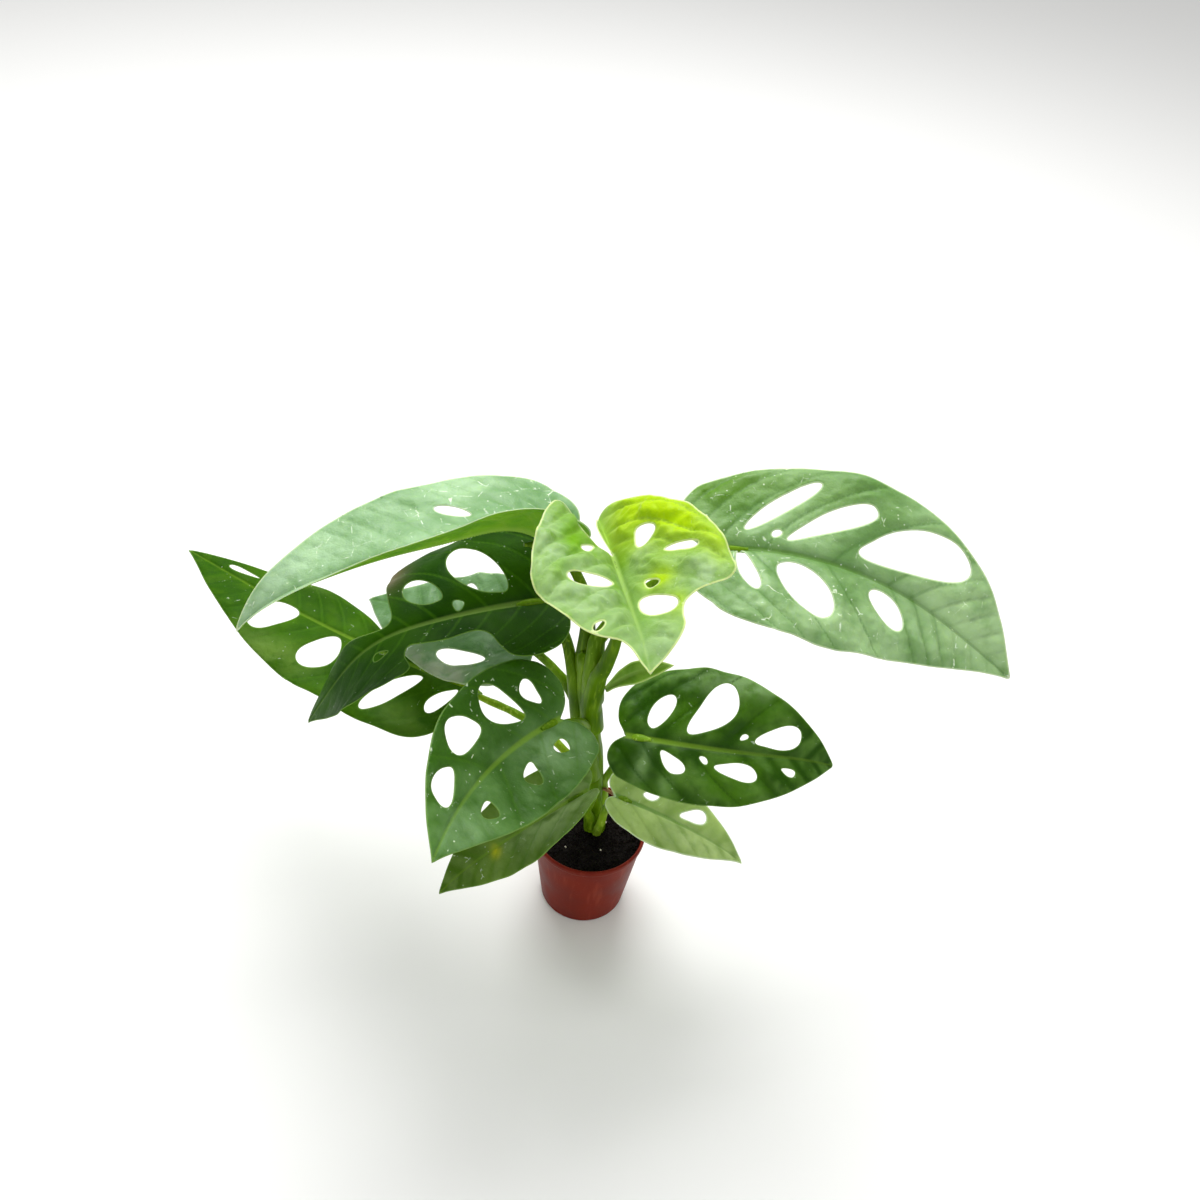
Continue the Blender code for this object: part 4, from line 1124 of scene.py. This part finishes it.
def stalk_skin(name, deep, light, streak):
    """Green stalk skin with lengthwise streaks about half a millimetre wide."""
    skin, tree = start_material(
        name, IOR=1.45, Specular_IOR_Level=0.12, Subsurface_Weight=0.3,
        Subsurface_Radius=(0.9, 1.0, 0.3), Subsurface_Scale=MM)
    at = add(tree, "TexCoord", out="Object")
    drawn = add(tree, "Mapping", {"Vector": at, "Scale": (1, 1, STREAK_STRETCH)})
    fine = add(tree, "TexNoise", {"Vector": drawn, "Scale": STREAKS, "Detail": 3.0})
    broad = add(tree, "TexNoise", {"Vector": at, "Scale": CLOUDS, "Detail": 2.0})
    dots = add(tree, "TexVoronoi", {"Vector": at, "Scale": DOTS})
    pick = add(tree, "SeparateColor", dots.node.outputs["Color"])
    colour = layered(
        tree, deep, (product(tree, (broad, 0.35, 0.65)), light),
        (product(tree, (fine, 0.5, 0.7, 0.0, 0.55)), streak),
        (product(tree, (dots, 0.08, 0.2, 0.8, 0.0), (pick, 0.8, 0.82)), streak))
    rough = product(tree, (fine, 0.3, 0.7, 0.34, 0.5))
    return finish_material(skin, colour, rough, fine, 0.3, 0.3)


print("stalk greens:", sorted({deep for deep, light, streak in STALK_COLOURS.values()}))

# %% Stem
stem_skin = stalk_skin("aroid_stem_skin", "#486C00", "#688E00", "#84A428")
heights = np.linspace(-14, STEM_TOP[2] + 1.5, 90)
stem_line = np.array([tuple(stem_at(min(h, STEM_TOP[2]))[0]
                            + Vector((0, 0, max(h - STEM_TOP[2], 0)))) for h in heights])
stem_line[heights < 0, 2] = SOIL_LEVEL + heights[heights < 0]
stem_girth = np.array([stem_at(h)[1] for h in heights])
stem_girth *= np.clip((STEM_TOP[2] + 2.2 - heights) / 3.0, 0.25, 1) ** 0.5
grow("stem", line_mesh("stem", stem_line, stem_girth), sweeping, "main_stem", "stem_green",
     Sides=48, Channel=0.1, Ridges=0.12, Grain=220.0, Seed=2.0, Skin=stem_skin)

# %% Leaf stalks
for number, (leaf_name, leaf) in enumerate(LEAVES.items()):
    line = stalk_line(leaf)
    share = np.linspace(0, 1, len(line))
    clasp, clasp_reach = (1.6, 0.5) if leaf["start"][0] > HUGGING_FROM else (0.5, 0.2)
    if leaf["start"][0] < LOW_FROM:
        clasp = 0.15
    knee = 0.14 * np.exp(-((share - 0.93) / 0.05) ** 2)
    girth = STALK_GIRTH * (1 - 0.3 * share) * (
        1 + clasp * np.exp(-(share / clasp_reach) ** 2) + knee)
    girth *= np.clip((1.0 - share) / 0.05, 0.25, 1) ** 0.5 * np.clip(share / 0.06, 0.3, 1)
    grow("stalk_" + leaf_name, line_mesh(leaf_name, line, girth), sweeping,
         "petiole_" + leaf_name, f"petiole_{leaf_name}_skin", Seed=5.0 + number,
         Skin=stalk_skin("stalk_skin_" + leaf_name, *STALK_COLOURS[leaf_name]))

# %% [markdown]
# ## The aerial root
# A climbing stem pushes out short brown roots that would grip bark. This one is a stub that
# tapers to a point and hangs a little, so it is one more swept line, with a corky brown skin.

# %% Small root
ROOT_FROM = (29.0, -25.0, -0.6)  # height, compass, and how far outside the stem's skin
ROOT_STEPS = 24
root_start, root_out = beside_stem(*ROOT_FROM)
root_path = [root_start, root_start + root_out * 5.1,
             root_start + root_out * 9.3 - Vector((0, 0, 3))]
root_line = np.array([tuple(bezier(root_path, i / ROOT_STEPS)) for i in range(ROOT_STEPS + 1)])
root_share = np.linspace(0, 1, ROOT_STEPS + 1)
root_girth = 0.9 * (1 - 0.5 * root_share) * np.clip(8 - 7.4 * root_share, 0, 1)
grow("small_root", line_mesh("root", root_line, root_girth), sweeping, "aerial_root", "root_skin",
     Sides=14, Channel=0.0, Ridges=0.1, Grain=500.0, Seed=4.0,
     Skin=stalk_skin("root_bark", "#9A6A4C", "#C08A70", "#D8B09A"))

# %% [markdown]
# ## The nursery pot
# A thin moulded polypropylene pot in terracotta brown, smooth outside, with a small rolled rim,
# a raised foot and drain holes. A profile swept round a circle gives the wall in one go, and
# the holes repeat round the floor, so both are done in one node tree.

# %% Pot tree
POT_PROFILE = [
    (0, 1.0), (4, 1.0), (9, 1.0), (13.4, 1.0), (14.3, 1.0), (14.9, 0.6), (15.4, 0.1),
    (16.6, 0.0), (18.2, 0.0), (18.8, 0.2), (19.1, 0.9), (19.25, 2.0), (19.4, 3.2), (19.8, 6.0),
    (20.9, 14.0), (21.95, 22.0), (23.0, 30.0), (23.8, 36.0), (24.3, 39.5), (24.5, 41.0),
    (24.6, 41.6), (25.0, 41.9), (25.3, 42.5), (25.4, 43.6), (25.35, 44.4), (25.1, 44.85),
    (24.7, 45.0), (24.3, 44.9), (24.05, 44.5), (23.9, 43.6), (23.7, 42.0), (23.2, 38.0),
    (22.8, 34.6), (22.65, 33.4), (22.4, 32.7), (22.25, 31.6), (21.8, 28.0), (20.7, 20.0),
    (19.65, 12.0), (18.9, 6.0), (18.55, 3.4), (18.3, 2.2), (17.7, 1.6), (16.6, 1.4), (14, 1.4),
    (9, 1.4), (4, 1.4), (0, 1.4)]
LATHE_RADIUS = 10.0  # any circle does: the profile is drawn as its distance from it
POLE_GAP = 0.02 * MM
DRILL_SIDES, DRILL_DEPTH = 28, 6 * MM
POT_SIZES = {"Sides": 160, "Holes": 4, "Hole Radius mm": 2.4, "Hole Circle mm": 11.0}


def pot_tree(material):
    """An open profile swept round a circle and closed at its poles, with drain holes cut."""
    tree, sizes = start_tree("turn_a_pot", {**POT_SIZES, "Skin": material})
    lathe = add(tree, "CurvePrimitiveCircle", {"Resolution": sizes["Sides"],
                                               "Radius": LATHE_RADIUS * MM})
    wall = add(tree, "CurveToMesh", {
        "Curve": lathe, "Profile Curve": add(tree, "MeshToCurve", sizes["Geometry"])})
    wall = add(tree, "MergeByDistance", {"Geometry": wall, "Distance": POLE_GAP})
    drill_radius, ring_radius = (product(tree, sizes[label], MM)
                                 for label in ("Hole Radius mm", "Hole Circle mm"))
    drill = add(tree, "MeshCylinder", {"Vertices": DRILL_SIDES, "Radius": drill_radius,
                                       "Depth": DRILL_DEPTH})
    ring = add(tree, "CurvePrimitiveCircle", {"Resolution": sizes["Holes"],
                                              "Radius": ring_radius})
    ring = add(tree, "Transform", {"Geometry": ring, "Rotation": (0, 0, math.radians(45))})
    drills = add(tree, "InstanceOnPoints", {"Points": ring, "Instance": drill})
    drills = add(tree, "RealizeInstances", drills)
    cut = add(tree, "MeshBoolean", wall, {"Mesh 2": drills}, operation="DIFFERENCE",
              solver="EXACT")
    end_tree(tree, add(tree, "SetShadeSmooth", cut), sizes["Skin"])
    return tree


pot_line = rounded_line([(r - LATHE_RADIUS, -z, 0) for r, z in POT_PROFILE], 3)
pot_start = bpy.data.meshes.new("pot_profile")
pot_start.from_pydata((pot_line * MM).tolist(), [(i, i + 1) for i in range(len(pot_line) - 1)],
                      [])
print("pot is", 2 * max(r for r, z in POT_PROFILE), "mm wide")

# %% Pot plastic
POT_PATTERNS = {  # scale per metre and detail
    "broad": (60.0, 3.0),  # colour drifts over about 17 mm
    "fine": (2500.0, 2.0),  # the mould's grain, 0.4 mm wide: coarser than real, so it shows
    "flow": (260.0, 2.0)}  # flow streaks about 4 mm wide, drawn out ten times along the wall
FLOW_STRETCH = 0.1


def moulded_plastic(name):
    """Terracotta polypropylene: satin from the mould, with faint flow streaks and scuffs."""
    skin, tree = start_material(name, IOR=1.49, Specular_IOR_Level=0.1)
    at = add(tree, "TexCoord", out="Object")
    drawn = add(tree, "Mapping", {"Vector": at, "Scale": (1, 1, FLOW_STRETCH)})
    broad, fine, flow = (
        add(tree, "TexNoise", {"Vector": drawn if label == "flow" else at, "Scale": scale,
                               "Detail": detail})
        for label, (scale, detail) in POT_PATTERNS.items())
    colour = layered(
        tree, "#681606", (product(tree, (broad, 0.3, 0.7)), "#782210"),
        (product(tree, (flow, 0.55, 0.75, 0.0, 0.35)), "#96402C"),
        (product(tree, (fine, 0.66, 0.72, 0.0, 0.2)), "#B4806C"))
    rough = product(tree, (broad, 0.3, 0.7, 0.4, 0.55))
    return finish_material(skin, colour, rough, fine, 0.12, 0.2)


grow("pot", pot_start, pot_tree(bpy.data.materials.new("pot_blank")), "nursery_pot",
     "terracotta_plastic", Skin=moulded_plastic("terracotta_polypropylene"))

# %% [markdown]
# ## Potting mix
# Peat and coir with a few white perlite grains and fibres, dark because it is damp. The bulk is
# a lumpy disc, and crumbs, grains and fibres are scattered over it by a node tree with a fixed
# seed, each with only a few faces.

# %% Peat and perlite
CRUMBS = 900.0  # per metre: peat crumbs about 1.1 mm wide
FIBRES = 1600.0  # paler fibre ends about 0.6 mm wide
PORES = 2500.0  # perlite pores about 0.4 mm wide, coarser than real ones so that they show


def potting_mix(name):
    """Damp peat: nearly black brown, matt, with paler fibres and wet glints."""
    skin, tree = start_material(name, Specular_IOR_Level=0.12)
    at = add(tree, "TexCoord", out="Object")
    crumbs = add(tree, "TexVoronoi", {"Vector": at, "Scale": CRUMBS})
    pick = add(tree, "SeparateColor", crumbs.node.outputs["Color"])
    fine = add(tree, "TexNoise", {"Vector": at, "Scale": FIBRES, "Detail": 4.0})
    colour = layered(tree, "#040201", (pick, "#100905"),
                     (product(tree, (fine, 0.6, 0.75, 0.0, 0.6)), "#281812"))
    rough = product(tree, (fine, 0.3, 0.7, 0.6, 0.95))
    return finish_material(skin, colour, rough, crumbs, 0.8, 0.8)


def perlite(name):
    """Expanded volcanic glass: chalky off-white grains with tiny pores."""
    skin, tree = start_material(name)
    at = add(tree, "TexCoord", out="Object")
    pores = add(tree, "TexNoise", {"Vector": at, "Scale": PORES, "Detail": 2.0})
    colour = layered(tree, "#B9A895", (product(tree, (pores, 0.35, 0.65)), "#E6DED0"))
    rough = product(tree, (pores, 0.3, 0.7, 0.75, 0.95))
    return finish_material(skin, colour, rough, pores, 0.6, 0.3)


peat, grains = potting_mix("damp_potting_mix"), perlite("perlite_grains")
print("ground materials:", peat.name, "and", grains.name)

# %% Scatter tree
PER_SQUARE_METRE = 10000.0  # one for each square centimetre
LOOKS_UP = 0.6  # a face is level when its normal's height is above this
ANY_TURN = 3.1


def scatter_tree(material):
    """Scatters low-poly lumps over the faces that look up, and keeps the ground if asked."""
    tree, sizes = start_tree("scatter_lumps", {
        "Per Square cm": 60.0, "Small mm": 0.35, "Large mm": 1.3, "Stretch": 1.0, "Jitter": 0.5,
        "Keep Ground": 1.0, "Seed": 1, "Skin": material})
    up = add(tree, "SeparateXYZ", add(tree, "InputNormal"), out=2)
    level = add(tree, "Compare", up, LOOKS_UP, operation="GREATER_THAN", data_type="FLOAT")
    points = add(tree, "DistributePointsOnFaces", {
        "Mesh": sizes["Geometry"], "Selection": level, "Seed": sizes["Seed"],
        "Density": product(tree, sizes["Per Square cm"], PER_SQUARE_METRE)})
    lump = add(tree, "MeshIcoSphere", {"Radius": 0.5, "Subdivisions": 2})
    dent = add(tree, "TexNoise", {"Vector": add(tree, "InputPosition"), "Scale": 2.6},
               out="Color")
    dent = add(tree, "VectorMath", dent, (0.5, 0.5, 0.5), **MINUS)
    dent = add(tree, "VectorMath", dent, {"Scale": sizes["Jitter"]}, **SCALE)
    lump = add(tree, "SetPosition", {"Geometry": lump, "Offset": dent})
    small, large = (product(tree, sizes[label], MM) for label in ("Small mm", "Large mm"))
    size = add(tree, "RandomValue", {2: small, 3: large, "Seed": sizes["Seed"]}, out=1,
               data_type="FLOAT")
    spin = add(tree, "RandomValue", (-ANY_TURN,) * 3, (ANY_TURN,) * 3, {"Seed": sizes["Seed"]},
               data_type="FLOAT_VECTOR")
    shape = add(tree, "CombineXYZ", product(tree, size, sizes["Stretch"]), size, size)
    lumps = add(tree, "InstanceOnPoints", {"Points": points, "Instance": lump,
                                           "Rotation": spin, "Scale": shape})
    bare = add(tree, "Compare", sizes["Keep Ground"], 0.5, operation="LESS_THAN",
               data_type="FLOAT")
    ground = add(tree, "DeleteGeometry", {"Geometry": sizes["Geometry"], "Selection": bare})
    end_tree(tree, add(tree, "JoinGeometry", [lumps, ground]), sizes["Skin"])
    return tree


scattering = scatter_tree(bpy.data.materials.new("mix_blank"))
print("scatter tree has", len(scattering.nodes), "nodes")

# %% Bulk of the mix
MIX_RINGS = [0.0, 0.9, 1.9, 3.0, 4.2, 5.4, 6.6, 7.8, 9, 10.2, 11.4, 12.6, 13.8, 15, 16.2, 17.4,
             18.6, 19.8, 20.9, 21.9, 22.7, 23.15]
MIX_SIDES = 96
MIX_CROWN, MIX_FALL, MIX_LUMP = 0.6, 1.1, 0.16  # height in the middle, drop to the wall, lumps
PLUG_RINGS = ((22.9, SOIL_LEVEL - 2.0), (18.0, 2.0), (0.0, 2.0))


def mix_body():
    """The bulk of the potting mix: a lumpy top on a plain tapered plug."""
    rng = np.random.default_rng(5)
    waves = [(rng.uniform(0.2, 1.6), rng.uniform(0, math.tau), rng.uniform(0, math.tau))
             for _ in range(16)]
    points, rings = [], []
    for radius, height in [(radius, None) for radius in MIX_RINGS] + list(PLUG_RINGS):
        rings.append([])
        for side in range(1 if radius == 0 else MIX_SIDES):
            turn = math.tau * side / MIX_SIDES
            x, y = radius * math.cos(turn), radius * math.sin(turn)
            lumps = sum(math.sin(k * (x * math.cos(a) + y * math.sin(a)) + p)
                        for k, a, p in waves)
            top = (SOIL_LEVEL + MIX_CROWN - MIX_FALL * (radius / MIX_RINGS[-1]) ** 2
                   + MIX_LUMP * lumps)
            rings[-1].append(len(points))
            points.append((x, y, top if height is None else height))
    faces = []
    for inner, outer in zip(rings, rings[1:]):
        for side in range(MIX_SIDES):
            after = (side + 1) % MIX_SIDES
            if len(inner) == 1:
                faces.append((inner[0], outer[side], outer[after]))
            elif len(outer) == 1:
                faces.append((inner[side], outer[0], inner[after]))
            else:
                faces.append((inner[side], outer[side], outer[after], inner[after]))
    mesh = bpy.data.meshes.new("mix_body")
    mesh.from_pydata((np.array(points) * MM).tolist(), [], faces)
    return mesh


grow("potting_mix", mix_body(), scattering, "potting_soil", "potting_mix", Skin=peat)

# %% Fibres and perlite grains
grow("mix_fibres", mix_body(), scattering, None, "potting_mix", Per_Square_cm=7.0,
     Small_mm=0.18, Large_mm=0.4, Stretch=11.0, Jitter=0.2, Keep_Ground=0.0, Seed=6, Skin=peat)
grow("mix_perlite", mix_body(), scattering, None, "potting_mix", Per_Square_cm=0.35,
     Small_mm=0.7, Large_mm=1.5, Jitter=0.7, Keep_Ground=0.0, Seed=11, Skin=grains)
